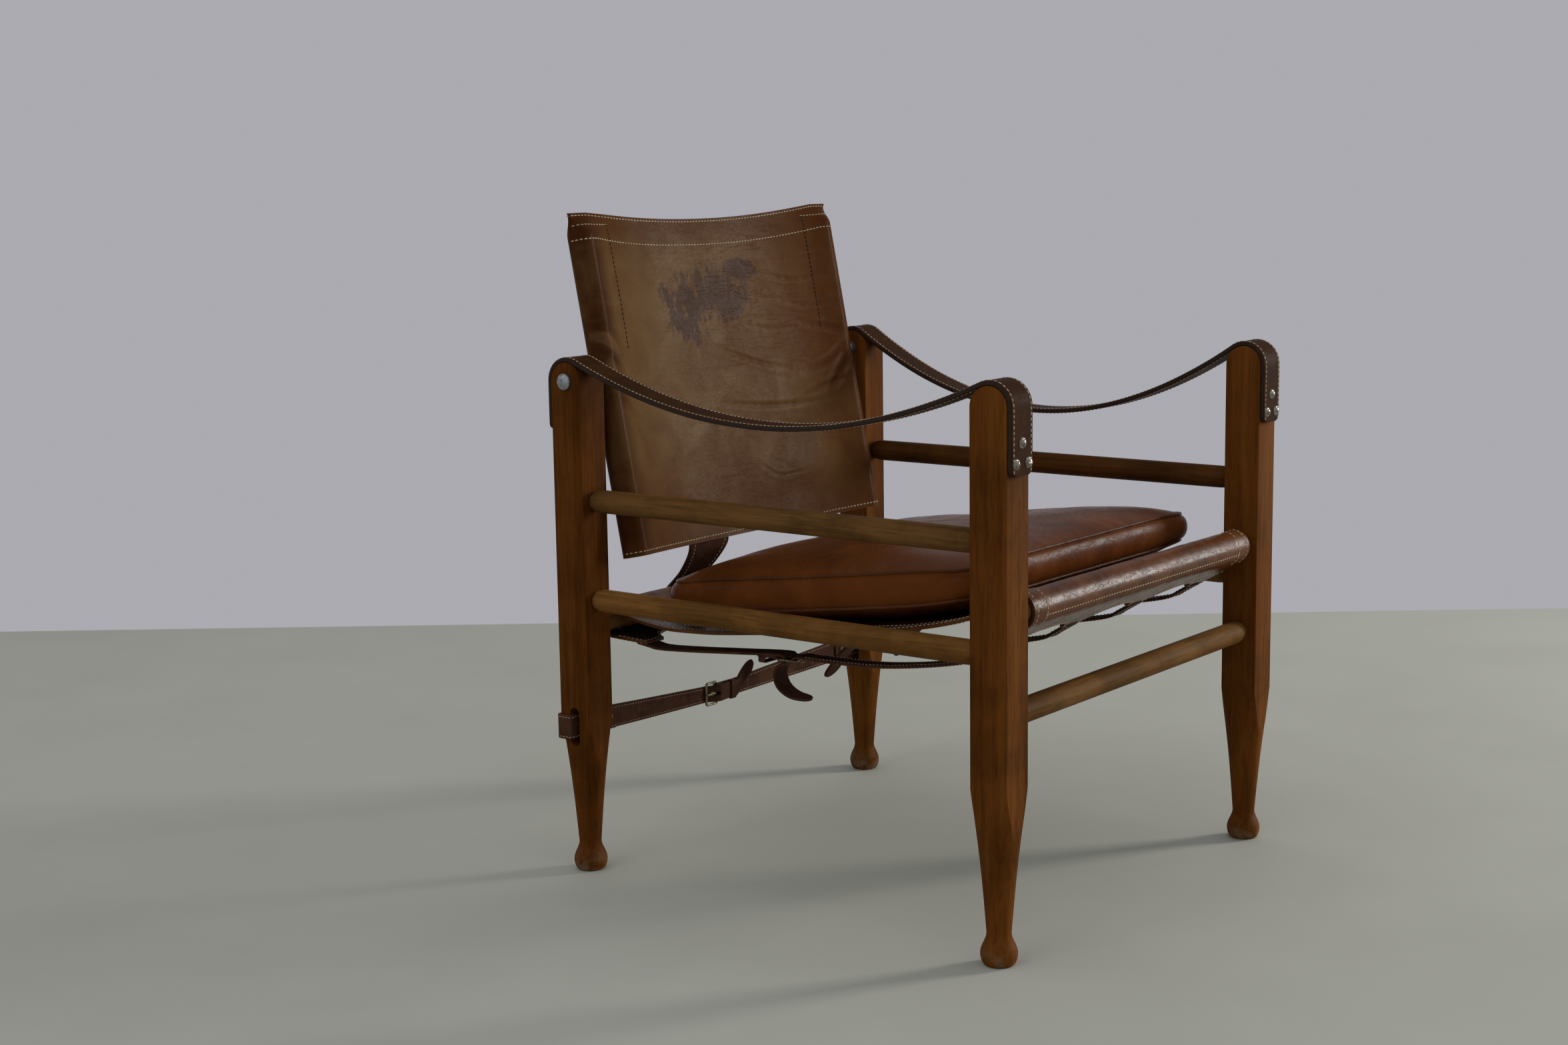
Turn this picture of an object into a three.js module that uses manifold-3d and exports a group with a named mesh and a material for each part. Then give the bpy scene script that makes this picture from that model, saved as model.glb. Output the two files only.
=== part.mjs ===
// A knock-down campaign chair: turned wooden legs and rails, a tilting leather back on two stiles,
// a leather sling buckled under a loose box cushion, and two leather arm straps.
// Millimetres, +Z up, the sitter looks along -Y. Left is -X and right is +X.
// The origin lies on the floor under the middle of the whole chair's outline.
import * as THREE from "three";
import { mergeVertices } from "three/addons/utils/BufferGeometryUtils.js";
import Module from "manifold-3d";

const wasm = await Module();
wasm.setup();

// Frame
const chairWidth = 570;
const chairDepth = 587;
const legHeight = 575;

// Heights above the floor as shares of the leg's height
const upperRailShare = 0.734;
const lowerRailShare = 0.541;
const frontSeatRailShare = 0.608;
const rearSeatRailShare = 0.49;
const stretcherShare = 0.432;
const shoulderShare = 0.322;
const tieShare = 0.29;
const buckleShare = 0.456;

// Legs
const legWidth = 40;
const legDepth = 42;
const footPadDiameter = 26;
const ballDiameter = 37.5;
const ballHeight = 12;
const ankleDiameter = 25;
const ankleHeight = 33;
const taperHollow = 1.6;

// Rails
const railDiameter = 25.5;
const tenonDiameter = 18;
const tenonLength = 26;
const railNose = 16;

// Clearances between pieces that touch
const seat = 0.3;
const cutOverrun = 5;
const weldTolerance = 1e-4;

// Arm straps
const armStrapWidth = 38;
const armStrapThickness = 5;
const armStrapEndRadius = 7;
const armStrapFrontDrop = 86;
const armStrapRearDrop = 75;
const leftArmDipDegrees = 23.5;
const rightArmDipDegrees = 33.7;

// Arm strap screws
const screwPairHeight = 12;
const screwPairSpread = 22;
const screwTopHeight = 31.5;
const screwShank = 3.6;
const screwLength = 20;
const cupDiameter = 11.5;
const cupHeight = 1.6;
const screwHeadDiameter = 7.4;
const screwHeadHeight = 2;

// Back
const backRecline = 11.3;
const backAbovePivot = 184;
const backBelowPivot = 203;
const stileDiameter = 25;
const backLeather = 2.6;
const sheetThickness = 3.4;
const pocketDepth = 38;
const sheetBow = 7;
const topEdgeSag = 11;
const topHem = 21;
const stileBottomCover = 14;

// Back pivots
const boltDiameter = 6;
const boltHeadDiameter = 18.6;
const boltHeadHeight = 5.6;
const boltHeadRim = 1.6;
const spacerDiameter = 16;
const spacerThickness = 10;
const insertDiameter = 10;
const insertLength = 16;
const sleeveSlotWidth = 14;
const sleeveSlotLength = 46;

// Back strap
const backStrapOffset = -82;
const backStrapTopWidth = 70;
const backStrapWidth = 48;
const backStrapThickness = 3;
const backStrapLap = 22;
const backStrapSlack = 9;

// Seat sling
const slingRoom = 15;
const sleeveWall = 4.6;
const seatRailDiameter = 28;
const slingThickness = 3.6;
const slingSag = 36;
const sagPower = 4.4;
const flapThickness = 3.2;
const flapLength = 53;
const flapSideLength = 11;
const frontFlapDropDegrees = 31;
const rearFlapDropDegrees = 7;
const valleyDepth = 24;
const toothWidth = 28;
const teeth = 4;
const toothInset = 25;

// Straps and buckles under the seat and between the rear legs
const strapWidth = 24;
const strapThickness = 3;
const strapLap = 20;
const billetSag = 8;
const wire = 3;
const frameLength = 20;
const frameSide = 1.6;
const frameCornerRadius = 2.8;
const tongueWidth = 3;
const tongueThickness = 2;
const tongueTip = 2.2;
const tongueSlot = 5;
const chapeReturn = 34;
const keeperLength = 9;
const keeperWall = 1.6;
const holeLength = 14;
const buckleRearward = 33;
const tailLength = 66;
const tailCurlShares = [[-0.08, -0.03], [-0.16, -0.17], [-0.1, -0.37], [0.1, -0.5], [0.45, -0.55]];
const tailHangShares = [[-0.14, -0.06], [-0.36, -0.24], [-0.74, -0.7]];

// Tie strap between the rear legs
const tieWidth = 28;
const tieBuckleWidth = 20;
const tieBuckleOffset = -30;
const tieSag = 9;
const tieTabLength = 35;
const tieTailLength = 22;
const tieTailShares = [[-0.3, -0.02], [-0.65, -0.15], [-0.95, -0.45]];
const tieTailRiseDegrees = 52;
const slotWidth = 14;
const slotHeight = 44;
const rivetPlace = 22;
const rivetDiameter = 3.4;
const rivetHeadDiameter = 8.4;
const rivetHeadHeight = 1.2;

// Cushion
const cushionSideRoom = 17;
const cushionFrontRoom = 51.5;
const cushionRearRoom = 85.5;
const cushionLift = 3.4;
const cushionSlopeShare = 1.04;
const cushionHollow = 2.9;
const boxingHeight = 35;
const cushionCornerRadius = 34;
const crownRise = 22;
const bellyDrop = 23;
const boxingBulge = 2.4;
const pipingRadius = 2.6;
const cushionRest = 0.6;
const cushionRingShares = [0.3, 0.58, 0.8, 0.92, 0.98];
const crownPower = 4.4;
const seamInsetShare = 1.7;
const seamRiseShare = 0.85;

// Places that follow from the sizes above
const legX = (chairWidth - legWidth) / 2;
const legY = (chairDepth - legDepth) / 2;
const innerFace = legX - legWidth / 2;
const upperRailHeight = upperRailShare * legHeight;
const lowerRailHeight = lowerRailShare * legHeight;
const frontSeatRailHeight = frontSeatRailShare * legHeight;
const rearSeatRailHeight = rearSeatRailShare * legHeight;
const stretcherHeight = stretcherShare * legHeight;
const shoulderHeight = shoulderShare * legHeight;
const tieHeight = tieShare * legHeight;
const buckleHeight = buckleShare * legHeight;
const archRadius = legDepth / 2;
const pivotHeight = legHeight - archRadius;
const socketRadius = tenonDiameter / 2 + seat;
const sleeveRadius = seatRailDiameter / 2 + seat + sleeveWall;
const stileRadius = stileDiameter / 2;
const pocketRadius = stileRadius + seat + backLeather;
const stileX = innerFace - spacerThickness - 2 * seat - pocketRadius;
const slingWidth = 2 * (innerFace - slingRoom);
const toothPitch = (slingWidth - 2 * toothInset) / (teeth - 1);
const cushionWidth = 2 * (innerFace - cushionSideRoom);
const cushionFront = legY - cushionFrontRoom;
const cushionRear = legY - cushionRearRoom;
const slotBottom = tieHeight - tieWidth / 2 - slotWidth / 2;
const slotCentreHeight = slotBottom + slotHeight / 2;

// Materials
const finish = (color, roughness, metalness = 0) =>
  new THREE.MeshStandardMaterial({ color, roughness, metalness });
const materials = {
  legWood: finish(0x7a4a26, 0.5),
  railWood: finish(0x94693a, 0.5),
  backLeather: finish(0x8a5a36, 0.45),
  cushionLeather: finish(0x8f4a1e, 0.35),
  slingLeather: finish(0x5f3421, 0.4),
  strapLeather: finish(0x4c2a1c, 0.45),
  nickel: finish(0xb9b6ab, 0.3, 1),
  zinc: finish(0x9aa0a2, 0.4, 1),
  brass: finish(0x9a8a5a, 0.35, 1),
};

const chair = new THREE.Group();

function place(name, geometry, material, parent = chair) {
  const mesh = new THREE.Mesh(geometry, material);
  mesh.name = name;
  parent.add(mesh);
  return mesh;
}

// Solids: a closed geometry becomes a solid for joins and cuts, and a geometry again afterwards.
function solid(geometry) {
  const bare = new THREE.BufferGeometry();
  bare.setAttribute("position", geometry.getAttribute("position").clone());
  if (geometry.index) bare.setIndex(geometry.index.clone());
  const merged = mergeVertices(bare, weldTolerance);
  return new wasm.Manifold(
    new wasm.Mesh({
      numProp: 3,
      vertProperties: new Float32Array(merged.attributes.position.array),
      triVerts: new Uint32Array(merged.index.array),
    }),
  );
}

function geometryOf(body) {
  const { vertProperties, triVerts } = body.getMesh();
  const geometry = new THREE.BufferGeometry();
  geometry.setAttribute("position", new THREE.BufferAttribute(vertProperties, 3));
  geometry.setIndex(new THREE.BufferAttribute(triVerts, 1));
  geometry.computeVertexNormals();
  return geometry;
}

const cut = (body, tools) => tools.reduce((left, tool) => left.subtract(solid(tool)), body);
const join = (parts) => parts.reduce((left, part) => left.add(part));

// Axes: a cylinder or a turned shape along X, Y or Z, and a section drawn in (Y, Z) and pushed out along X.
const turnToX = new THREE.Matrix4().makeRotationZ(-Math.PI / 2);
const turnToZ = new THREE.Matrix4().makeRotationX(Math.PI / 2);
const sectionToX = new THREE.Matrix4().makeBasis(
  new THREE.Vector3(0, 1, 0),
  new THREE.Vector3(0, 0, 1),
  new THREE.Vector3(1, 0, 0),
);

function rod(radius, length, axis, sides) {
  const geometry = new THREE.CylinderGeometry(radius, radius, length, sides);
  if (axis === "x") geometry.applyMatrix4(turnToX);
  if (axis === "z") geometry.applyMatrix4(turnToZ);
  return geometry;
}

// A profile of [radius, height] pairs turned about the Z axis.
function turned(profile, sides) {
  const points = profile.map(([radius, height]) => new THREE.Vector2(radius, height));
  return new THREE.LatheGeometry(points, sides).applyMatrix4(turnToZ);
}

// A section in (Y, Z), pushed out along X and centred on X = 0.
function pushedAlongX(shape, width, curveSegments) {
  const geometry = new THREE.ExtrudeGeometry(shape, { depth: width, bevelEnabled: false, curveSegments });
  return geometry.translate(0, 0, -width / 2).applyMatrix4(sectionToX);
}

function boxAt(x, y, z, width, depth, height) {
  return new THREE.BoxGeometry(width, depth, height).translate(x, y, z);
}

// A strip of even thickness along a centre line of 2-D points in (X, Z), from edge to edge across Y.
// edgesAt gives the two edges' Y at a point of the line.
function band(points, thickness, edgesAt) {
  const position = [];
  points.forEach((point, i) => {
    const before = points[Math.max(i - 1, 0)];
    const after = points[Math.min(i + 1, points.length - 1)];
    const into = i > 0 ? point.clone().sub(before).normalize() : after.clone().sub(point).normalize();
    const out = i < points.length - 1 ? after.clone().sub(point).normalize() : into;
    const along = into.clone().add(out).normalize();
    const offset = thickness / 2 / along.dot(into);
    const [near, far] = edgesAt(point);
    for (const [sign, y] of [[1, near], [1, far], [-1, far], [-1, near]]) {
      position.push(point.x - along.y * offset * sign, y, point.y + along.x * offset * sign);
    }
  });
  const index = [0, 1, 2, 0, 2, 3];
  for (let i = 0; i < points.length - 1; i++) {
    for (let k = 0; k < 4; k++) {
      const [a, b] = [4 * i + k, 4 * i + ((k + 1) % 4)];
      index.push(a, a + 4, b + 4, a, b + 4, b);
    }
  }
  const end = 4 * (points.length - 1);
  index.push(end, end + 2, end + 1, end, end + 3, end + 2);
  const geometry = new THREE.BufferGeometry();
  geometry.setAttribute("position", new THREE.Float32BufferAttribute(position, 3));
  geometry.setIndex(index);
  geometry.computeVertexNormals();
  return geometry;
}

const even = (width) => () => [-width / 2, width / 2];

// The same strip with its line in (Y, Z), across X.
const bandAcrossX = (points, thickness, edgesAt) => band(points, thickness, edgesAt).rotateZ(Math.PI / 2);

const arcPoints = (cx, cy, radius, from, to, steps) =>
  Array.from({ length: steps + 1 }, (_, i) => {
    const angle = from + ((to - from) * i) / steps;
    return new THREE.Vector2(cx + radius * Math.cos(angle), cy + radius * Math.sin(angle));
  });

const smoothPoints = (points, steps) => new THREE.SplineCurve(points).getPoints(steps);

const radians = (degrees) => (degrees * Math.PI) / 180;

// Legs

function legProfile() {
  const ballRadius = ballDiameter / 2;
  const ankleRadius = ankleDiameter / 2;
  const padRadius = footPadDiameter / 2;
  const cornerRadius = Math.hypot(legWidth, legDepth) / 2 + seat;
  const profile = [[0, 0], [padRadius, 0]];
  // The ball: an elliptical quarter below its widest height, and one above it that meets the ankle.
  const ballSteps = 4;
  for (let i = 1; i <= ballSteps; i++) {
    const turn = (Math.PI / 2) * (i / ballSteps);
    profile.push([
      padRadius + (ballRadius - padRadius) * Math.sin(turn),
      ballHeight * (1 - Math.cos(turn)),
    ]);
  }
  const neckSteps = 4;
  for (let i = 1; i <= neckSteps; i++) {
    const turn = Math.PI * (i / neckSteps);
    profile.push([
      (ballRadius + ankleRadius) / 2 + ((ballRadius - ankleRadius) / 2) * Math.cos(turn),
      ballHeight + (ankleHeight - ballHeight) * (i / neckSteps),
    ]);
  }
  // The long taper, a little hollow, up to where the square section is whole.
  const taperSteps = 4;
  for (let i = 1; i <= taperSteps; i++) {
    const share = i / taperSteps;
    profile.push([
      ankleRadius + (cornerRadius - ankleRadius) * share - taperHollow * Math.sin(Math.PI * share),
      ankleHeight + (shoulderHeight - ankleHeight) * share,
    ]);
  }
  profile.push([cornerRadius, legHeight + cutOverrun], [0, legHeight + cutOverrun]);
  return profile;
}

// Screw places at one end of an arm strap: [across, above the strap's end].
const screwPlaces = [
  [0, screwTopHeight],
  [-screwPairSpread / 2, screwPairHeight],
  [screwPairSpread / 2, screwPairHeight],
];

const strapEndHeight = (end) => legHeight - (end < 0 ? armStrapFrontDrop : armStrapRearDrop);

// A slot with round ends, upright and centred on the origin.
function slotShape(width, height) {
  const radius = width / 2;
  const straight = height / 2 - radius;
  const shape = new THREE.Shape();
  shape.absarc(0, straight, radius, 0, Math.PI);
  shape.absarc(0, -straight, radius, Math.PI, 2 * Math.PI);
  return shape;
}

// side: -1 left, 1 right. end: -1 front, 1 rear. The leg stands on its own axis.
function leg(side, end) {
  const outline = new THREE.Shape();
  outline.moveTo(-legDepth / 2, 0);
  outline.lineTo(legDepth / 2, 0);
  outline.absarc(0, pivotHeight, archRadius, 0, Math.PI);
  const blank = solid(pushedAlongX(outline, legWidth, 14));
  const body = blank.intersect(solid(turned(legProfile(), 20)));
  const socket = (height, axis) => {
    const inward = axis === "x" ? legWidth / 2 : legDepth / 2;
    const depth = tenonLength + seat;
    const middle = inward - depth / 2 + cutOverrun / 2;
    const tool = rod(socketRadius, depth + cutOverrun, axis, 16);
    if (axis === "x") return tool.translate(-side * middle, 0, height);
    return tool.translate(0, -end * middle, height);
  };
  const tools = [socket(upperRailHeight, "y"), socket(lowerRailHeight, "y")];
  if (end < 0) {
    tools.push(socket(frontSeatRailHeight, "x"), socket(stretcherHeight, "x"));
  } else {
    const slot = pushedAlongX(slotShape(slotWidth, slotHeight), legWidth + 2 * cutOverrun, 6);
    tools.push(
      socket(rearSeatRailHeight, "x"),
      slot.translate(0, 0, slotCentreHeight),
      rod(boltDiameter / 2 + seat, legWidth + 2 * cutOverrun, "x", 16).translate(0, 0, pivotHeight),
    );
  }
  const pilotDepth = screwLength - armStrapThickness + seat;
  for (const [across, above] of screwPlaces) {
    const tool = rod(screwShank / 2 + seat, pilotDepth + cutOverrun, "y", 8);
    const middle = legDepth / 2 - pilotDepth / 2 + cutOverrun / 2;
    tools.push(tool.translate(across, end * middle, strapEndHeight(end) + above));
  }
  return geometryOf(cut(body, tools));
}

const sides = { left: -1, right: 1 };
const ends = { front: -1, rear: 1 };

for (const [endName, end] of Object.entries(ends)) {
  for (const [sideName, side] of Object.entries(sides)) {
    const mesh = place(`leg_${endName}_${sideName}`, leg(side, end), materials.legWood);
    mesh.position.set(side * legX, end * legY, 0);
  }
}

// Rails: a round bar with blunt noses that step down to tenons.

function rail(span, diameter) {
  const half = span / 2;
  const radius = diameter / 2;
  const tenon = tenonDiameter / 2;
  const noseSteps = 3;
  const end = [[0, -half - tenonLength], [tenon, -half - tenonLength], [tenon, -half + seat]];
  for (let i = 1; i <= noseSteps; i++) {
    const turn = (Math.PI / 2) * (i / noseSteps);
    end.push([tenon + (radius - tenon) * Math.sin(turn), -half + seat + railNose * (1 - Math.cos(turn))]);
  }
  const mirrored = end.map(([r, height]) => [r, -height]).reverse();
  return turned([...end, ...mirrored], 16);
}

const crossSpan = 2 * innerFace;
const sideSpan = 2 * legY - legDepth;
const railAlongX = new THREE.Euler(0, Math.PI / 2, 0);
const railAlongY = new THREE.Euler(Math.PI / 2, 0, 0);

function placeRail(name, geometry, turn, x, y, z) {
  const mesh = place(name, geometry, materials.railWood);
  mesh.rotation.copy(turn);
  mesh.position.set(x, y, z);
}

for (const [sideName, side] of Object.entries(sides)) {
  const x = side * legX;
  placeRail(`rail_upper_${sideName}`, rail(sideSpan, railDiameter), railAlongY, x, 0, upperRailHeight);
  placeRail(`rail_lower_${sideName}`, rail(sideSpan, railDiameter), railAlongY, x, 0, lowerRailHeight);
}
placeRail("rail_seat_front", rail(crossSpan, seatRailDiameter), railAlongX, 0, -legY, frontSeatRailHeight);
placeRail("rail_seat_rear", rail(crossSpan, seatRailDiameter), railAlongX, 0, legY, rearSeatRailHeight);
placeRail("stretcher_front", rail(crossSpan, railDiameter), railAlongX, 0, -legY, stretcherHeight);

// Arm straps: up one leg's outer face, over its arch, down in a slack curve and over the other leg.

function armStrapLine(dipDegrees) {
  const radius = archRadius + seat + armStrapThickness / 2;
  const dip = radians(dipDegrees);
  const leaveY = legY - radius * Math.sin(dip);
  const leaveZ = pivotHeight + radius * Math.cos(dip);
  const sag = (leaveY * Math.tan(dip)) / 2;
  const spanSteps = 26;
  const span = Array.from({ length: spanSteps - 1 }, (_, i) => {
    const y = leaveY * (1 - (2 * (i + 1)) / spanSteps);
    return new THREE.Vector2(y, leaveZ - sag * (1 - (y / leaveY) ** 2));
  });
  const up = Math.PI / 2;
  return [
    new THREE.Vector2(legY + radius, strapEndHeight(1)),
    ...arcPoints(legY, pivotHeight, radius, 0, up + dip, 8),
    ...span,
    ...arcPoints(-legY, pivotHeight, radius, up - dip, Math.PI, 8),
    new THREE.Vector2(-legY - radius, strapEndHeight(-1)),
  ];
}

// The strap's end outline seen from the front, to round its two corners.
function endCorners(end) {
  const low = strapEndHeight(end);
  const half = armStrapWidth / 2;
  const reach = armStrapEndRadius;
  const shape = new THREE.Shape();
  shape.moveTo(half + cutOverrun, low - cutOverrun);
  shape.lineTo(half + cutOverrun, low + reach);
  shape.lineTo(half, low + reach);
  shape.absarc(half - reach, low + reach, reach, 0, -Math.PI / 2, true);
  shape.lineTo(-half + reach, low);
  shape.absarc(-half + reach, low + reach, reach, -Math.PI / 2, -Math.PI, true);
  shape.lineTo(-half - cutOverrun, low + reach);
  shape.lineTo(-half - cutOverrun, low - cutOverrun);
  const depth = armStrapThickness + 2 * cutOverrun;
  const geometry = new THREE.ExtrudeGeometry(shape, { depth, bevelEnabled: false, curveSegments: 4 });
  geometry.translate(0, 0, -depth / 2).applyMatrix4(turnToZ);
  return geometry.translate(0, end * (legY + archRadius + armStrapThickness / 2), 0);
}

function armStrap(dipDegrees) {
  const body = solid(bandAcrossX(armStrapLine(dipDegrees), armStrapThickness, even(armStrapWidth)));
  const tools = [endCorners(-1), endCorners(1)];
  for (const end of Object.values(ends)) {
    for (const [across, above] of screwPlaces) {
      const tool = rod(screwShank / 2 + seat, armStrapThickness + 2 * cutOverrun, "y", 8);
      const y = end * (legY + archRadius + armStrapThickness / 2);
      tools.push(tool.translate(across, y, strapEndHeight(end) + above));
    }
  }
  return geometryOf(cut(body, tools));
}

const armDips = { left: leftArmDipDegrees, right: rightArmDipDegrees };
for (const [sideName, side] of Object.entries(sides)) {
  const mesh = place(`arm_strap_${sideName}`, armStrap(armDips[sideName]), materials.strapLeather);
  mesh.position.x = side * legX;
}

// A round-head screw seated in its cup washer, drawn along +Z from the strap's face.
function strapScrew() {
  const headRadius = screwHeadDiameter / 2;
  const cupRadius = cupDiameter / 2;
  const shank = screwShank / 2;
  return turned(
    [
      [0, -screwLength],
      [shank, -screwLength + screwShank],
      [shank, seat],
      [cupRadius, seat],
      [headRadius, seat + cupHeight],
      [headRadius * Math.SQRT1_2, seat + cupHeight + screwHeadHeight * Math.SQRT1_2],
      [0, seat + cupHeight + screwHeadHeight],
    ],
    8,
  );
}

for (const [endName, end] of Object.entries(ends)) {
  for (const [sideName, side] of Object.entries(sides)) {
    screwPlaces.forEach(([across, above], i) => {
      const mesh = place(`arm_screw_${endName}_${sideName}_${i + 1}`, strapScrew(), materials.nickel);
      mesh.rotation.x = (-end * Math.PI) / 2;
      const faceY = legY + archRadius + seat + armStrapThickness;
      mesh.position.set(side * legX + across, end * faceY, strapEndHeight(end) + above);
    });
  }
}

// Back: its own group at the pivot line, leaning by the recline. Its local Z runs up the stiles.

const back = new THREE.Group();
back.position.set(0, legY, pivotHeight);
back.rotation.x = -radians(backRecline);
chair.add(back);

const stileTop = backAbovePivot - topHem - backLeather - seat;
const stileBottom = -backBelowPivot + stileBottomCover;

const stitchX = stileX - pocketDepth;
const backBow = (x) => sheetBow * (1 - (x / stitchX) ** 2);

// The back's cross-section in (X, Y): a sheet that bows to the rear between two sleeves.
function backSection() {
  const half = sheetThickness / 2;
  const reach = Math.hypot(pocketDepth, half);
  const turn = Math.acos((pocketRadius - half) / reach);
  const bowSteps = 8;
  const right = arcPoints(stileX, 0, pocketRadius, -Math.PI + turn, Math.PI - turn, 18);
  const left = right.map((point) => new THREE.Vector2(-point.x, -point.y));
  const sheet = (sign) =>
    Array.from({ length: bowSteps + 1 }, (_, i) => {
      const x = stitchX * (1 - (2 * i) / bowSteps);
      return new THREE.Vector2(x, backBow(x) + sign * half);
    });
  const rear = sheet(1);
  const front = sheet(-1).reverse();
  return new THREE.Shape([...right, ...rear, ...left, ...front]);
}

function backLeatherBody() {
  const height = backAbovePivot + backBelowPivot;
  const section = new THREE.ExtrudeGeometry(backSection(), { depth: height, bevelEnabled: false });
  const body = solid(section.translate(0, 0, -backBelowPivot));
  const boreTop = stileTop + seat;
  const boreLength = boreTop + backBelowPivot + cutOverrun;
  const deep = 2 * (pocketRadius + sheetBow) + 2 * cutOverrun;
  const tools = [];
  for (const side of Object.values(sides)) {
    const bore = rod(stileRadius + seat, boreLength, "z", 20);
    tools.push(bore.translate(side * stileX, 0, boreTop - boreLength / 2));
    // The sewn opening in the outer edge, which the pivot bolt passes.
    const slot = pushedAlongX(slotShape(sleeveSlotWidth, sleeveSlotLength), pocketRadius, 5);
    tools.push(slot.translate(side * (stileX + pocketRadius), 0, 0));
  }
  // The flat hem above the stile tops.
  const sheetHalf = sheetThickness / 2;
  const sleeveWidth = stileX + pocketRadius - stitchX + cutOverrun;
  for (const side of Object.values(sides)) {
    for (const face of [-1, 1]) {
      const x = side * (stitchX + sleeveWidth / 2);
      const y = face * (sheetHalf + pocketRadius / 2);
      const z = backAbovePivot - topHem / 2 + cutOverrun / 2;
      tools.push(boxAt(x, y, z, sleeveWidth, pocketRadius, topHem + cutOverrun));
    }
  }
  // The sagging top edge.
  const span = stileX - stileRadius;
  const dip = new THREE.Shape();
  dip.moveTo(span, cutOverrun);
  dip.lineTo(-span, cutOverrun);
  dip.lineTo(-span, 0);
  const dipSteps = 12;
  for (let i = 0; i <= dipSteps; i++) {
    const x = -span + (2 * span * i) / dipSteps;
    dip.lineTo(x, -topEdgeSag * (1 - (x / span) ** 2));
  }
  const dipTool = new THREE.ExtrudeGeometry(dip, { depth: deep, bevelEnabled: false });
  tools.push(dipTool.translate(0, 0, -deep / 2).applyMatrix4(turnToZ).translate(0, 0, backAbovePivot));
  return geometryOf(cut(body, tools));
}

function stile(side) {
  const length = stileTop - stileBottom;
  const bar = rod(stileRadius, length, "z", 20).translate(0, 0, stileBottom + length / 2);
  const bore = insertLength + seat;
  const hole = rod(insertDiameter / 2 + seat, bore + cutOverrun, "x", 16);
  hole.translate(side * (stileRadius - bore / 2 + cutOverrun / 2), 0, 0);
  return geometryOf(cut(solid(bar), [hole]));
}

// A ring turned about X: the stile's threaded insert, and the spacer outside it.
function ringAlongX(outer, inner, length, ringSides) {
  const profile = [[inner, 0], [outer, 0], [outer, length], [inner, length], [inner, 0]];
  return turned(profile, ringSides).rotateY(Math.PI / 2);
}

place("back_leather", backLeatherBody(), materials.backLeather, back);
for (const [sideName, side] of Object.entries(sides)) {
  place(`back_stile_${sideName}`, stile(side), materials.railWood, back).position.x = side * stileX;
  const insert = ringAlongX(insertDiameter / 2, boltDiameter / 2 + seat, insertLength, 16);
  const insertMesh = place(`pivot_insert_${sideName}`, insert, materials.brass, back);
  const insertInner = stileX + stileRadius - insertLength;
  insertMesh.position.x = side > 0 ? insertInner : -insertInner - insertLength;
  const spacer = ringAlongX(spacerDiameter / 2, boltDiameter / 2 + seat, spacerThickness, 20);
  const spacerMesh = place(`pivot_spacer_${sideName}`, spacer, materials.zinc);
  const spacerInner = innerFace - seat - spacerThickness;
  spacerMesh.position.set(side > 0 ? spacerInner : -spacerInner - spacerThickness, legY, pivotHeight);
  const headRadius = boltHeadDiameter / 2;
  const reach = legX + legWidth / 2 + seat - (stileX + stileRadius - insertLength);
  const profile = [[0, -reach], [boltDiameter / 2, -reach], [boltDiameter / 2, 0], [headRadius, 0]];
  const domeSteps = 4;
  for (let i = 0; i < domeSteps; i++) {
    const turn = (Math.PI / 2) * (i / domeSteps);
    const rise = (boltHeadHeight - boltHeadRim) * Math.sin(turn);
    profile.push([headRadius * Math.cos(turn), boltHeadRim + rise]);
  }
  profile.push([0, boltHeadHeight]);
  const boltMesh = place(`pivot_bolt_${sideName}`, turned(profile, 16), materials.zinc);
  boltMesh.rotation.y = (side * Math.PI) / 2;
  boltMesh.position.set(side * (legX + legWidth / 2 + seat), legY, pivotHeight);
}

// Seat sling: a sheet that sags between the two seat rails, a sleeve round each, and toothed flaps below.

const slingTop = (y) => {
  const share = (y + legY) / (2 * legY);
  const front = frontSeatRailHeight + sleeveRadius;
  const rear = rearSeatRailHeight + sleeveRadius;
  const sag = slingSag * (1 - Math.abs(2 * share - 1) ** sagPower);
  return front + (rear - front) * share - sag;
};

const slingSteps = 24;
const slingY = (i) => -legY + (2 * legY * i) / slingSteps;

function slingSheet() {
  const line = Array.from({ length: slingSteps + 1 }, (_, i) => {
    return new THREE.Vector2(slingY(i), slingTop(slingY(i)) - slingThickness / 2);
  });
  return solid(bandAcrossX(line, slingThickness, even(slingWidth)));
}

// The height of the sheet's flat facets, which the cushion rests on.
function slingTopAt(y) {
  const run = ((y + legY) / (2 * legY)) * slingSteps;
  const i = Math.min(Math.max(Math.floor(run), 0), slingSteps - 1);
  return slingTop(slingY(i)) + (slingTop(slingY(i + 1)) - slingTop(slingY(i))) * (run - i);
}

// Plan outline of a toothed flap: from the sleeve at Y = 0 to the tooth tips at Y = flapLength.
function flapPlan() {
  const half = slingWidth / 2;
  const tip = toothWidth / 2;
  const firstTooth = (-(teeth - 1) / 2) * toothPitch;
  const shape = new THREE.Shape();
  shape.moveTo(-half, -sleeveRadius);
  shape.lineTo(-half, flapSideLength);
  shape.lineTo(firstTooth - tip, flapLength);
  for (let i = 0; i < teeth; i++) {
    const x = firstTooth + i * toothPitch;
    shape.lineTo(x + tip, flapLength);
    if (i < teeth - 1) {
      const next = x + toothPitch;
      const middle = (x + next) / 2;
      const valley = flapLength - valleyDepth;
      shape.quadraticCurveTo(x + tip + tip / 2, valley, middle, valley);
      shape.quadraticCurveTo(next - tip - tip / 2, valley, next - tip, flapLength);
    }
  }
  shape.lineTo(half, flapSideLength);
  shape.lineTo(half, -sleeveRadius);
  return shape;
}

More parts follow.
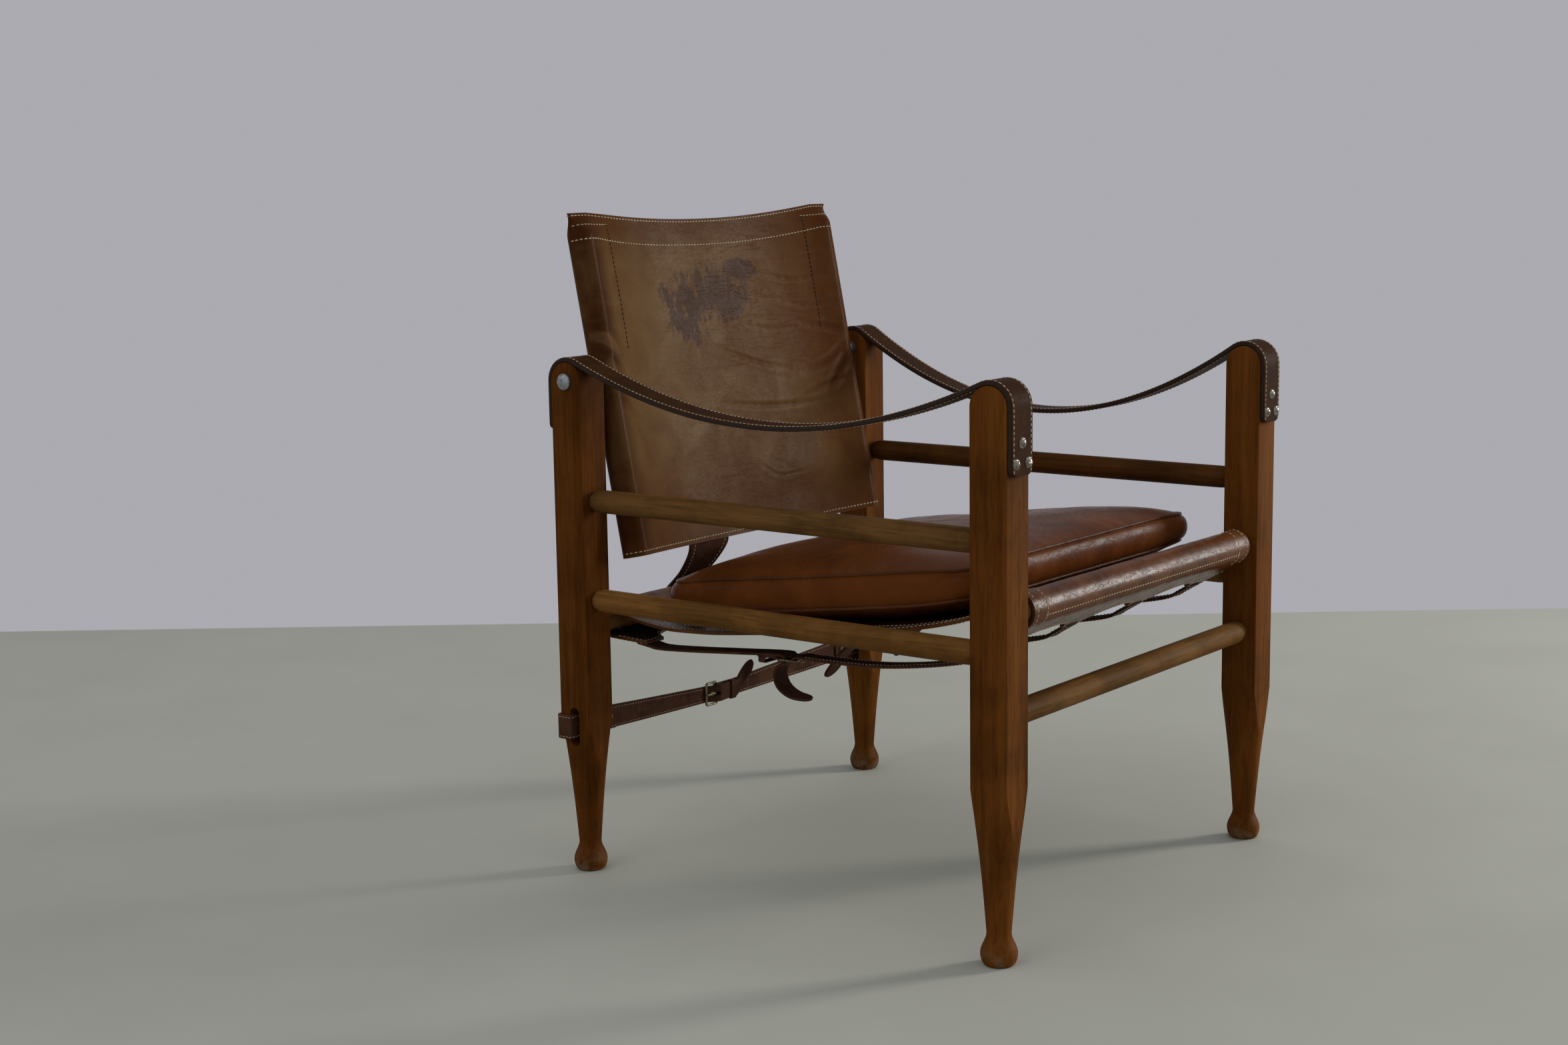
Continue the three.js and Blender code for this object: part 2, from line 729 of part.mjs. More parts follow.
const flapDrop = (end) => radians(end < 0 ? frontFlapDropDegrees : rearFlapDropDegrees);
const flapLevel = (end, along) => -sleeveRadius + flapThickness / 2 - along * Math.tan(flapDrop(end));

// end: -1 front, 1 rear. The flap runs from under its sleeve towards the other rail.
function flap(end) {
  const railHeight = end < 0 ? frontSeatRailHeight : rearSeatRailHeight;
  const direction = -end;
  const line = [0, flapLength + cutOverrun].map((along) => new THREE.Vector2(along, flapLevel(end, along)));
  const ribbon = bandAcrossX(line, flapThickness, even(slingWidth + cutOverrun));
  const deep = 2 * (sleeveRadius + flapLength);
  const settings = { depth: deep, bevelEnabled: false, curveSegments: 6 };
  const plan = new THREE.ExtrudeGeometry(flapPlan(), settings);
  const shaped = solid(ribbon).intersect(solid(plan.translate(0, 0, -deep / 2)));
  const geometry = geometryOf(shaped);
  if (direction < 0) geometry.rotateZ(Math.PI);
  return solid(geometry.translate(0, end * legY, railHeight));
}

function sling() {
  const sleeve = (end) => {
    const height = end < 0 ? frontSeatRailHeight : rearSeatRailHeight;
    return solid(rod(sleeveRadius, slingWidth, "x", 28).translate(0, end * legY, height));
  };
  const whole = join([sleeve(-1), sleeve(1), slingSheet(), flap(-1), flap(1)]);
  const bore = (end) => {
    const height = end < 0 ? frontSeatRailHeight : rearSeatRailHeight;
    const length = slingWidth + 2 * cutOverrun;
    return rod(seatRailDiameter / 2 + seat, length, "x", 20).translate(0, end * legY, height);
  };
  return geometryOf(cut(whole, [bore(-1), bore(1)]));
}

place("seat_sling", sling(), materials.slingLeather);

// Buckles: local X runs towards the half with the holes, Y across the strap, Z away from the outer side.
// The heel bar lies on the local Y axis and the front bar at X = frameLength.

function buckleFrame(width) {
  const half = width / 2 + frameSide + wire / 2;
  const r = frameCornerRadius;
  const corners = [
    [0, 1, Math.PI / 2, Math.PI],
    [0, -1, Math.PI, 1.5 * Math.PI],
    [1, -1, 1.5 * Math.PI, 2 * Math.PI],
    [1, 1, 0, Math.PI / 2],
  ];
  const points = corners.flatMap(([far, up, from, to]) => {
    const cx = far ? frameLength - r : r;
    return arcPoints(cx, up * (half - r), r, from, to, 3);
  });
  const path = points.map((point) => new THREE.Vector3(point.x, point.y, 0));
  const sidesOfWire = 6;
  const position = [];
  const index = [];
  path.forEach((point, i) => {
    const before = path[(i + path.length - 1) % path.length];
    const after = path[(i + 1) % path.length];
    const along = after.clone().sub(before).normalize();
    const out = new THREE.Vector3(along.y, -along.x, 0);
    for (let s = 0; s < sidesOfWire; s++) {
      const turn = (2 * Math.PI * s) / sidesOfWire;
      const across = (wire / 2) * Math.cos(turn);
      position.push(point.x + out.x * across, point.y + out.y * across, (wire / 2) * Math.sin(turn));
      const next = ((i + 1) % path.length) * sidesOfWire;
      const s2 = (s + 1) % sidesOfWire;
      const [a, b, c, d] = [i * sidesOfWire + s, i * sidesOfWire + s2, next + s2, next + s];
      index.push(a, c, b, a, d, c);
    }
  });
  const geometry = new THREE.BufferGeometry();
  geometry.setAttribute("position", new THREE.Float32BufferAttribute(position, 3));
  geometry.setIndex(index);
  geometry.computeVertexNormals();
  return geometry;
}

// The tongue: an eye round the heel bar and a flat pin that rests on the front bar's outer side.
function buckleTongue() {
  const eyeInner = wire / 2 + seat;
  const eyeOuter = eyeInner + tongueThickness;
  const eye = solid(rod(eyeOuter, tongueWidth, "y", 14));
  const restZ = -(wire / 2 + seat + tongueThickness / 2);
  const length = frameLength + tongueTip;
  const line = [
    new THREE.Vector2(0, restZ),
    new THREE.Vector2(length - tongueThickness, restZ),
    new THREE.Vector2(length, restZ + tongueThickness / 4),
  ];
  const body = join([eye, solid(band(line, tongueThickness, even(tongueWidth)))]);
  return geometryOf(cut(body, [rod(eyeInner, tongueWidth + cutOverrun, "y", 14)]));
}

// Levels in a buckle: the strap on the front bar, the fold round the heel bar, and the tail over it.
const onBar = wire / 2 + seat + strapThickness / 2;
const layerGap = strapThickness + seat;
const tailRadius = onBar + layerGap;
const throughTurn = Math.asin((onBar + tailRadius) / frameLength);
const tongueLevel = -(wire / 2 + seat + tongueThickness / 2);
const foldLevel = onBar - layerGap;
const keeperLevel = foldLevel - layerGap - seat;
const holePlace = (frameLength * (tongueLevel + tailRadius)) / (onBar + tailRadius);

// The half that carries the buckle: it comes from -X, folds round the heel bar and runs back on itself.
function chapeLine(root) {
  const fold = arcPoints(0, 0, onBar, Math.PI / 2, (-2 * Math.PI) / 3, 7);
  const mouth = -2 * onBar;
  return [
    ...root,
    new THREE.Vector2(mouth, onBar),
    ...fold,
    new THREE.Vector2(mouth, foldLevel),
    new THREE.Vector2(-chapeReturn, foldLevel),
  ];
}

// The slot for the tongue in the fold, and the keeper sewn between the layers behind it.
function finishChape(geometry, width) {
  const slot = boxAt(0, 0, 0, 4 * onBar, tongueSlot, 4 * onBar);
  const x = -chapeReturn + keeperLength;
  const inside = strapThickness + 2 * seat;
  const across = width + 2 * seat;
  const outer = boxAt(x, 0, keeperLevel, keeperLength, across + 2 * keeperWall, inside + 2 * keeperWall);
  const hollow = boxAt(x, 0, keeperLevel, keeperLength + cutOverrun, across, inside);
  const strip = cut(solid(geometry), [slot]);
  return geometryOf(join([strip, cut(solid(outer), [hollow])]));
}

// The half with the holes: over the front bar, down through the frame and out past the heel bar.
function billetLine(run, tail) {
  const up = Math.PI / 2;
  const heel = arcPoints(0, 0, tailRadius, -up + throughTurn, -up, 4);
  const last = heel.pop();
  return [
    ...run,
    ...arcPoints(frameLength, 0, onBar, up, up + throughTurn, 4),
    ...heel,
    ...smoothPoints([last, ...tail], 14),
  ];
}

const freeTail = (tailShares, length, x, z) =>
  tailShares.map(([along, out]) => new THREE.Vector2(x + along * length, z + out * length));

function finishBillet(geometry) {
  const hole = rod(tongueSlot / 2, 2 * tailRadius, "z", 12);
  hole.scale(holeLength / tongueSlot, 1, 1).translate(holePlace, 0, 0);
  return geometryOf(cut(solid(geometry), [hole]));
}

// Seat straps: one under each tooth of the sling.

const lapRoot = (end) => {
  const railHeight = end < 0 ? frontSeatRailHeight : rearSeatRailHeight;
  const below = flapThickness / 2 + seat + strapThickness / 2;
  const at = (along) => {
    const y = end * (legY - along);
    const z = railHeight + flapLevel(end, along) - below / Math.cos(flapDrop(end));
    return new THREE.Vector2(buckleRearward - y, z - buckleHeight);
  };
  return [at(flapLength - strapLap), at(flapLength), at(flapLength + strapLap / 2)];
};

const frontRun = (() => {
  const [lap, tip, past] = lapRoot(-1);
  const bar = new THREE.Vector2(frameLength + onBar, onBar);
  const middle = past.clone().add(bar).multiplyScalar(1 / 2);
  middle.y -= billetSag;
  return [lap, tip, ...smoothPoints([past, middle, bar], 8)];
})();

for (let i = 0; i < teeth; i++) {
  const strap = new THREE.Group();
  strap.position.set((i - (teeth - 1) / 2) * toothPitch, buckleRearward, buckleHeight);
  strap.rotation.z = -Math.PI / 2;
  chair.add(strap);
  const number = i + 1;
  const outermost = i === 0 || i === teeth - 1;
  const tail = freeTail(outermost ? tailCurlShares : tailHangShares, tailLength, 0, -tailRadius);
  const billet = band(billetLine(frontRun, tail), strapThickness, even(strapWidth));
  const chape = band(chapeLine(lapRoot(1)), strapThickness, even(strapWidth));
  place(`seat_strap_front_${number}`, finishBillet(billet), materials.strapLeather, strap);
  place(`seat_strap_rear_${number}`, finishChape(chape, strapWidth), materials.strapLeather, strap);
  place(`seat_buckle_${number}`, buckleFrame(strapWidth), materials.brass, strap);
  place(`seat_tongue_${number}`, buckleTongue(), materials.brass, strap);
}

// Tie strap: each half loops round the rear of its leg, comes back through the leg's slot and is riveted.

const wrap = strapThickness / 2 + seat;
const tabLevel = slotWidth / 2 - wrap;
const mainLevel = tabLevel + layerGap;

// The loop in plan, from the tab to the main run: X outwards from the leg's inner face, Y to the rear.
function tieLoop() {
  const rear = legDepth / 2;
  const lean = Math.PI / 4;
  const drop = rear + wrap * Math.sin(lean) - mainLevel;
  const bend = -wrap * Math.cos(lean) - drop;
  return [
    new THREE.Vector2(-tieTabLength, tabLevel),
    ...arcPoints(legWidth, slotWidth / 2, wrap, -Math.PI / 2, 0, 3),
    ...arcPoints(legWidth, rear, wrap, 0, Math.PI / 2, 3),
    ...arcPoints(0, rear, wrap, Math.PI / 2, Math.PI / 2 + lean, 2),
    new THREE.Vector2(bend + wrap, mainLevel + wrap),
    new THREE.Vector2(bend - wrap, mainLevel),
  ];
}

// The two edges of a half: it narrows towards the buckle and sags, and the tail behind the fold turns up.
// side: 1 for the half on local +X, -1 for the half on -X. It tapers between near and far.
const tieEdges = (side, near, far) => (point) => {
  const share = Math.min(Math.max((side * point.x - near) / (far - near), 0), 1);
  const half = (tieBuckleWidth + (tieWidth - tieBuckleWidth) * share) / 2;
  const past = Math.max(-side * point.x - chapeReturn, 0);
  const middle = tieSag * share + past * Math.tan(radians(tieTailRiseDegrees));
  return [middle - half, middle + half];
};

const tie = new THREE.Group();
const tieBuckleLevel = mainLevel - onBar;
tie.position.set(tieBuckleOffset, legY + tieBuckleLevel, tieHeight - tieSag);
tie.rotation.setFromRotationMatrix(
  new THREE.Matrix4().makeBasis(
    new THREE.Vector3(-1, 0, 0),
    new THREE.Vector3(0, 0, 1),
    new THREE.Vector3(0, 1, 0),
  ),
);
chair.add(tie);

const tieReach = (side) => innerFace + side * tieBuckleOffset;
const tieRoot = (side) =>
  tieLoop().map(({ x, y }) => new THREE.Vector2(-side * (tieReach(-side) + x), y - tieBuckleLevel));

// The tie strap's tail lies in the keeper and turns up behind it.
const tieTail = [
  new THREE.Vector2(-chapeReturn + (3 / 2) * keeperLength, keeperLevel),
  new THREE.Vector2(-chapeReturn + keeperLength / 2, keeperLevel),
  ...freeTail(tieTailShares, tieTailLength, -chapeReturn, keeperLevel),
];
const billetEdges = tieEdges(1, frameLength + onBar, tieReach(1));
const chapeEdges = tieEdges(-1, chapeReturn, tieReach(-1));
const leftTie = finishBillet(band(billetLine(tieRoot(-1), tieTail), strapThickness, billetEdges));
const rightTie = finishChape(band(chapeLine(tieRoot(1)), strapThickness, chapeEdges), tieBuckleWidth);

function rivetHoled(geometry, x) {
  const tool = rod(rivetDiameter / 2 + seat, 4 * tailRadius, "z", 10);
  return geometryOf(cut(solid(geometry), [tool.translate(x, tieSag, tabLevel - tieBuckleLevel)]));
}

const rivetX = (side) => -side * (tieReach(-side) - rivetPlace);
place("tie_strap_left", rivetHoled(leftTie, rivetX(-1)), materials.strapLeather, tie);
place("tie_strap_right", rivetHoled(rightTie, rivetX(1)), materials.strapLeather, tie);
place("tie_buckle", buckleFrame(tieBuckleWidth), materials.brass, tie);
place("tie_tongue", buckleTongue(), materials.brass, tie);

// A rivet with a head on each side of the two layers.
function rivet() {
  const low = -strapThickness / 2 - seat;
  const high = strapThickness / 2 + layerGap + seat;
  const shank = rivetDiameter / 2;
  const head = rivetHeadDiameter / 2;
  return turned(
    [
      [0, low - rivetHeadHeight],
      [head / 2, low - rivetHeadHeight],
      [head, low],
      [shank, low],
      [shank, high],
      [head, high],
      [head / 2, high + rivetHeadHeight],
      [0, high + rivetHeadHeight],
    ],
    12,
  );
}

for (const [sideName, side] of Object.entries(sides)) {
  const mesh = place(`tie_rivet_${sideName}`, rivet(), materials.brass, tie);
  mesh.position.set(rivetX(side), tieSag, tabLevel - tieBuckleLevel);
}

// Back strap: sewn behind the back's bottom hem, down to the rear sleeve of the sling and round it.

function inRoom(localY, localZ) {
  const lean = radians(backRecline);
  return new THREE.Vector2(
    legY + localY * Math.cos(lean) + localZ * Math.sin(lean),
    pivotHeight - localY * Math.sin(lean) + localZ * Math.cos(lean),
  );
}

function backStrap() {
  const half = backStrapThickness / 2;
  const outerEdge = Math.abs(backStrapOffset) - backStrapTopWidth / 2;
  const behind = backBow(outerEdge) + sheetThickness / 2 + seat + half;
  const lap = inRoom(behind, -backBelowPivot + backStrapLap);
  const leave = inRoom(behind, -backBelowPivot - backStrapThickness);
  const radius = sleeveRadius + seat + half;
  const rail = new THREE.Vector2(legY, rearSeatRailHeight);
  const away = leave.clone().sub(rail);
  const touch = away.angle() - Math.acos(radius / away.length());
  const round = arcPoints(rail.x, rail.y, radius, touch, -Math.PI / 2, 8);
  const middle = leave.clone().add(round[0]).multiplyScalar(1 / 2);
  middle.x -= backStrapSlack / 2;
  middle.y -= backStrapSlack / 4;
  const run = smoothPoints([leave, middle, round[0]], 6).slice(1, -1);
  const narrowing = (point) => {
    const share = Math.min(Math.max((point.y - round[0].y) / (leave.y - round[0].y), 0), 1);
    const reach = (backStrapWidth + (backStrapTopWidth - backStrapWidth) * share) / 2;
    return [-reach, reach];
  };
  return bandAcrossX([lap, leave, ...run, ...round], backStrapThickness, narrowing);
}

place("back_strap", backStrap(), materials.strapLeather).position.x = backStrapOffset;

// Cushion: rings of one rounded plan outline, from the middle of its underside to the middle of its top.

function cushionPlan() {
  const halfX = cushionWidth / 2 - cushionCornerRadius;
  const corners = [
    [halfX, cushionRear - cushionCornerRadius, 0],
    [-halfX, cushionRear - cushionCornerRadius, 1],
    [-halfX, -cushionFront + cushionCornerRadius, 2],
    [halfX, -cushionFront + cushionCornerRadius, 3],
  ];
  const cornerSteps = 5;
  const sideSteps = 9;
  return corners.flatMap(([x, y, quarter], i) => {
    const from = (quarter * Math.PI) / 2;
    const corner = arcPoints(0, 0, 1, from, from + Math.PI / 2, cornerSteps).map((out) => ({
      out,
      at: new THREE.Vector2(x, y).addScaledVector(out, cushionCornerRadius),
    }));
    const { out, at } = corner[cornerSteps];
    const [nextX, nextY] = corners[(i + 1) % corners.length];
    const next = new THREE.Vector2(nextX, nextY).addScaledVector(out, cushionCornerRadius);
    const side = Array.from({ length: sideSteps - 1 }, (_, k) => ({
      out,
      at: at.clone().lerp(next, (k + 1) / sideSteps),
    }));
    return [...corner, ...side];
  });
}

const cushionMiddle = (y) => {
  const reach = (cushionFront + cushionRear) / 2;
  const railMiddle = (frontSeatRailHeight + rearSeatRailHeight) / 2;
  const slope = (cushionSlopeShare * (frontSeatRailHeight - rearSeatRailHeight)) / (2 * legY);
  return railMiddle + sleeveRadius + cushionLift - y * slope + cushionHollow * (y / reach) ** 2;
};

function cushionBody() {
  const plan = cushionPlan();
  const half = boxingHeight / 2;
  const inset = seamInsetShare * pipingRadius;
  const rise = seamRiseShare * pipingRadius;
  const edge = [
    [inset, -half - rise],
    [0, -half],
    [inset, -half + rise],
    [-boxingBulge, -half / 2],
    [-boxingBulge, half / 2],
    [inset, half - rise],
    [0, half],
    [inset, half + rise],
  ];
  const rest = (x, y, z) => Math.max(z, slingTopAt(y) + cushionRest);
  const position = [];
  const push = (x, y, z) => position.push(x, y, rest(x, y, z));
  // How full the cushion is at a place: 1 in the middle and 0 along its edge.
  const centreY = (cushionRear - cushionFront) / 2;
  const reachX = cushionWidth / 2 - inset;
  const reachY = (cushionFront + cushionRear) / 2 - inset;
  const fullness = (x, y) =>
    (1 - Math.abs(x / reachX) ** crownPower) * (1 - Math.abs((y - centreY) / reachY) ** crownPower);
  const innerRing = (share, side, swell) => {
    for (const { out, at } of plan) {
      const x = (at.x - inset * out.x) * share;
      const y = centreY + (at.y - inset * out.y - centreY) * share;
      push(x, y, cushionMiddle(y) + side * (half + rise + swell * fullness(x, y)));
    }
  };
  push(0, centreY, cushionMiddle(centreY) - half - rise - bellyDrop);
  for (const share of cushionRingShares) innerRing(share, -1, bellyDrop);
  for (const [inward, lift] of edge) {
    for (const { out, at } of plan) {
      const point = at.clone().addScaledVector(out, -inward);
      push(point.x, point.y, cushionMiddle(at.y) + lift);
    }
  }
  for (const share of [...cushionRingShares].reverse()) innerRing(share, 1, crownRise);
  push(0, centreY, cushionMiddle(centreY) + half + rise + crownRise);
  const count = plan.length;
  const rings = 2 * cushionRingShares.length + edge.length;
  const index = [];
  const ringStart = (ring) => 1 + ring * count;
  const last = position.length / 3 - 1;
  for (let i = 0; i < count; i++) {
    const j = (i + 1) % count;
    index.push(0, j + ringStart(0), i + ringStart(0));
    for (let ring = 0; ring < rings - 1; ring++) {
      const [a, b] = [ringStart(ring) + i, ringStart(ring) + j];
      const [c, d] = [ringStart(ring + 1) + j, ringStart(ring + 1) + i];
      index.push(a, b, c, a, c, d);
    }
    index.push(last, i + ringStart(rings - 1), j + ringStart(rings - 1));
  }
  const geometry = new THREE.BufferGeometry();
  geometry.setAttribute("position", new THREE.Float32BufferAttribute(position, 3));
  geometry.setIndex(index);
  geometry.computeVertexNormals();
  return geometry;
}

place("seat_cushion", cushionBody(), materials.cushionLeather);

// The whole chair, moved so that the origin lies on the floor under the middle of its outline.
const outline = new THREE.Box3().setFromObject(chair);
const middle = outline.getCenter(new THREE.Vector3());
chair.position.set(-middle.x, -middle.y, -outline.min.z);
console.log("origin shift", chair.position.toArray().map((value) => value.toFixed(3)).join(" "));

const object = new THREE.Group();
object.add(chair);
export default object;
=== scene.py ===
# Campaign chair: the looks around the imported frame. Sizes in the dictionaries are millimetres.
import math

import bmesh
import bpy
import numpy as np
from mathutils import Matrix, Vector, noise


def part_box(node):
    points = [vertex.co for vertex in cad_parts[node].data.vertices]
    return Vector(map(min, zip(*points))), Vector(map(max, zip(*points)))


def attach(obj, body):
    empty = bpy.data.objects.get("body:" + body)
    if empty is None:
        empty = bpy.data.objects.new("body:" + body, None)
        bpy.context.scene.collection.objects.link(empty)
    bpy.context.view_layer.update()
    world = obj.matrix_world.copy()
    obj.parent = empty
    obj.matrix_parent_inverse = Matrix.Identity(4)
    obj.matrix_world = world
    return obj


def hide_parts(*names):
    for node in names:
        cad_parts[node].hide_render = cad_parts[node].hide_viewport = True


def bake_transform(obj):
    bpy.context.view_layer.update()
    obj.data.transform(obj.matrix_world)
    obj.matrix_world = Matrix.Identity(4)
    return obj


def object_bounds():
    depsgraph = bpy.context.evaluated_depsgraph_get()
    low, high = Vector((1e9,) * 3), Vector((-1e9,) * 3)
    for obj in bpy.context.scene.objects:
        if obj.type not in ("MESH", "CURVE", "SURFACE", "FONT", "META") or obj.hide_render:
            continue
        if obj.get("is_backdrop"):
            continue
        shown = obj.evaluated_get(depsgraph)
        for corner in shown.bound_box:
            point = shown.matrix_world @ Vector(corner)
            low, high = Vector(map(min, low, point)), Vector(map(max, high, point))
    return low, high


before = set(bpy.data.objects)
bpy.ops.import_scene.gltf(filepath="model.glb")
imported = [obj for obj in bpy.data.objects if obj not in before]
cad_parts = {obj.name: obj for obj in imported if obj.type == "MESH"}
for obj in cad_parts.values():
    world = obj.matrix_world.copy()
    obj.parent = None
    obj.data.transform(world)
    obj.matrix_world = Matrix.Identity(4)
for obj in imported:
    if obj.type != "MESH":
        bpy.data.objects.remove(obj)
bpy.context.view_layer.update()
mm = 0.001

# Where the frame's pieces are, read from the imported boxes
chair = {
    "legWidth": 40.0,
    "legDepth": 42.0,
    "legHeight": 575.0,
    "archRadius": 21.0,
    "seat": 0.3,  # the gap between pieces that touch
}


def boxOf(node):
    low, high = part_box(node)
    return np.array(low) / mm, np.array(high) / mm


frontLow, frontHigh = boxOf("leg_front_right")
rearLow, rearHigh = boxOf("leg_rear_right")
legX = (frontLow[0] + frontHigh[0]) / 2
frontY = (frontLow[1] + frontHigh[1]) / 2
rearY = (rearLow[1] + rearHigh[1]) / 2
middleY = (frontY + rearY) / 2
legY = (rearY - frontY) / 2
innerFace = legX - chair["legWidth"] / 2
pivotZ = chair["legHeight"] - chair["archRadius"]


def axisOf(node):
    low, high = boxOf(node)
    return (low + high) / 2


upperRailZ = axisOf("rail_upper_left")[2]
lowerRailZ = axisOf("rail_lower_left")[2]
frontRailZ = axisOf("rail_seat_front")[2]
rearRailZ = axisOf("rail_seat_rear")[2]
stretcherZ = axisOf("stretcher_front")[2]
tieZ = 0.29 * chair["legHeight"]
buckleZ = 0.456 * chair["legHeight"]
print("frame read", round(legX, 2), round(legY, 2), round(middleY, 3))

scene = bpy.context.scene


# Small tools: lines, meshes

def unit(v):
    return v / np.maximum(np.linalg.norm(v, axis=-1, keepdims=True), 1e-9)


def lengths(points):
    steps = np.linalg.norm(np.diff(points, axis=0), axis=1)
    return np.concatenate([[0], np.cumsum(steps)])


def resample(points, step):
    points = np.asarray(points, float)
    s = lengths(points)
    count = max(2, int(round(s[-1] / step)) + 1)
    t = np.linspace(0, s[-1], count)
    return np.stack([np.interp(t, s, points[:, k]) for k in range(points.shape[1])], axis=1)


def smoothLine(points, step):
    # a centripetal spline through the points, sampled evenly
    p = np.asarray(points, float)
    p = np.vstack([2 * p[0] - p[1], p, 2 * p[-1] - p[-2]])
    out = []
    for i in range(1, len(p) - 2):
        q = p[i - 1:i + 3]
        k = np.concatenate([[0], np.cumsum(np.sqrt(np.maximum(np.linalg.norm(np.diff(q, axis=0), axis=1), 1e-6)))])
        t = np.linspace(k[1], k[2], 9)[:-1, None]
        a1 = ((k[1] - t) * q[0] + (t - k[0]) * q[1]) / (k[1] - k[0])
        a2 = ((k[2] - t) * q[1] + (t - k[1]) * q[2]) / (k[2] - k[1])
        a3 = ((k[3] - t) * q[2] + (t - k[2]) * q[3]) / (k[3] - k[2])
        b1 = ((k[2] - t) * a1 + (t - k[0]) * a2) / (k[2] - k[0])
        b2 = ((k[3] - t) * a2 + (t - k[1]) * a3) / (k[3] - k[1])
        out.append(((k[2] - t) * b1 + (t - k[1]) * b2) / (k[2] - k[1]))
    out.append(p[-2][None])
    return resample(np.vstack(out), step)


def arc(cx, cy, radius, start, end, steps):
    turn = np.linspace(start, end, steps + 1)
    return np.stack([cx + radius * np.cos(turn), cy + radius * np.sin(turn)], axis=1)


def ripple(points, scale, seed=0.0):
    # smooth noise at many points, about -1 to 1
    return np.array([noise.noise(Vector(p) / scale + Vector((seed, 7.3 * seed, 1.7 * seed))) for p in points])


def surface(name, rings, closed=True, caps=True, along=None, around=None):
    # a skin over rings of points in mm, with a UV map in metres
    rings = np.asarray(rings, float)
    n, m = rings.shape[:2]
    wrap = m if closed else m - 1
    if along is None:
        along = lengths(rings.mean(axis=1))
    if around is None:
        mid = rings[n // 2]
        around = lengths(np.vstack([mid, mid[:1]]) if closed else mid)
    faces = [(i * m + j, i * m + (j + 1) % m, (i + 1) * m + (j + 1) % m, (i + 1) * m + j)
             for i in range(n - 1) for j in range(wrap)]
    uv = [(along[i + a], around[j + b]) for i in range(n - 1) for j in range(wrap)
          for a, b in ((0, 0), (0, 1), (1, 1), (1, 0))]
    if caps:
        faces += [tuple(range(m))[::-1], tuple((n - 1) * m + j for j in range(m))]
        uv += [(along[0], around[j]) for j in range(m)[::-1]] + [(along[-1], around[j]) for j in range(m)]
    mesh = bpy.data.meshes.new(name)
    mesh.from_pydata((rings.reshape(-1, 3) * mm).tolist(), [], faces)
    layer = mesh.uv_layers.new(name="UVMap")
    layer.data.foreach_set("uv", (np.array(uv, float) * mm).ravel())
    obj = bpy.data.objects.new(name, mesh)
    scene.collection.objects.link(obj)
    if closed and caps:
        turnOut(obj)
    return shade(obj)


def turnOut(obj):
    work = bmesh.new()
    work.from_mesh(obj.data)
    bmesh.ops.remove_doubles(work, verts=work.verts, dist=1e-7)
    bmesh.ops.recalc_face_normals(work, faces=work.faces)
    work.to_mesh(obj.data)
    work.free()


def shade(obj, degrees=35):
    obj.data.shade_smooth()
    obj.data.set_sharp_from_angle(angle=math.radians(degrees))
    return obj


def bake(obj):
    # turns the modifiers into plain mesh
    done = bpy.data.meshes.new_from_object(obj.evaluated_get(bpy.context.evaluated_depsgraph_get()))
    obj.modifiers.clear()
    obj.data = done
    return obj


def turned(name, profile, centre, axis, sides=64):
    # profile of (radius, height) pairs turned about an axis through centre
    profile = np.asarray(profile, float)
    turn = np.linspace(0, 2 * math.pi, sides, endpoint=False)
    ring = np.stack([np.cos(turn), np.sin(turn)], axis=1)
    order = {"x": (2, 0, 1), "y": (0, 2, 1), "z": (0, 1, 2)}[axis[-1]]
    sign = -1 if axis[0] == "-" else 1
    points = np.zeros((len(profile), sides, 3))
    points[..., :2] = profile[:, None, :1] * ring[None]
    points[..., 2] = sign * profile[:, None, 1]
    out = np.zeros_like(points)
    for k, source in enumerate(order):
        out[..., k] = points[..., source]
    obj = surface(name, out + np.asarray(centre, float), along=lengths(profile))
    return obj


def cutAway(obj, tool, how="DIFFERENCE"):
    cutter = obj.modifiers.new("cut", "BOOLEAN")
    cutter.object = tool
    cutter.operation = how
    cutter.solver = "EXACT"
    bake(obj)
    bpy.data.objects.remove(tool)
    return obj


def onlyMaterial(obj, material):
    obj.data.materials.clear()
    obj.data.materials.append(material)
    obj.data.polygons.foreach_set("material_index", [0] * len(obj.data.polygons))
    return obj


def joined(name, parts):
    bpy.ops.object.select_all(action="DESELECT")
    for part in parts:
        part.select_set(True)
    bpy.context.view_layer.objects.active = parts[0]
    bpy.ops.object.join()
    parts[0].name = name
    return parts[0]


def finish(obj, body, slot, materials, *nodes):
    # materials, body and the nodes that a piece stands for
    obj.data.materials.clear()
    for material in materials:
        obj.data.materials.append(material)
    if isinstance(body, str):
        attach(obj, body)
    if nodes:
        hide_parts(*nodes)
    return obj


# Materials

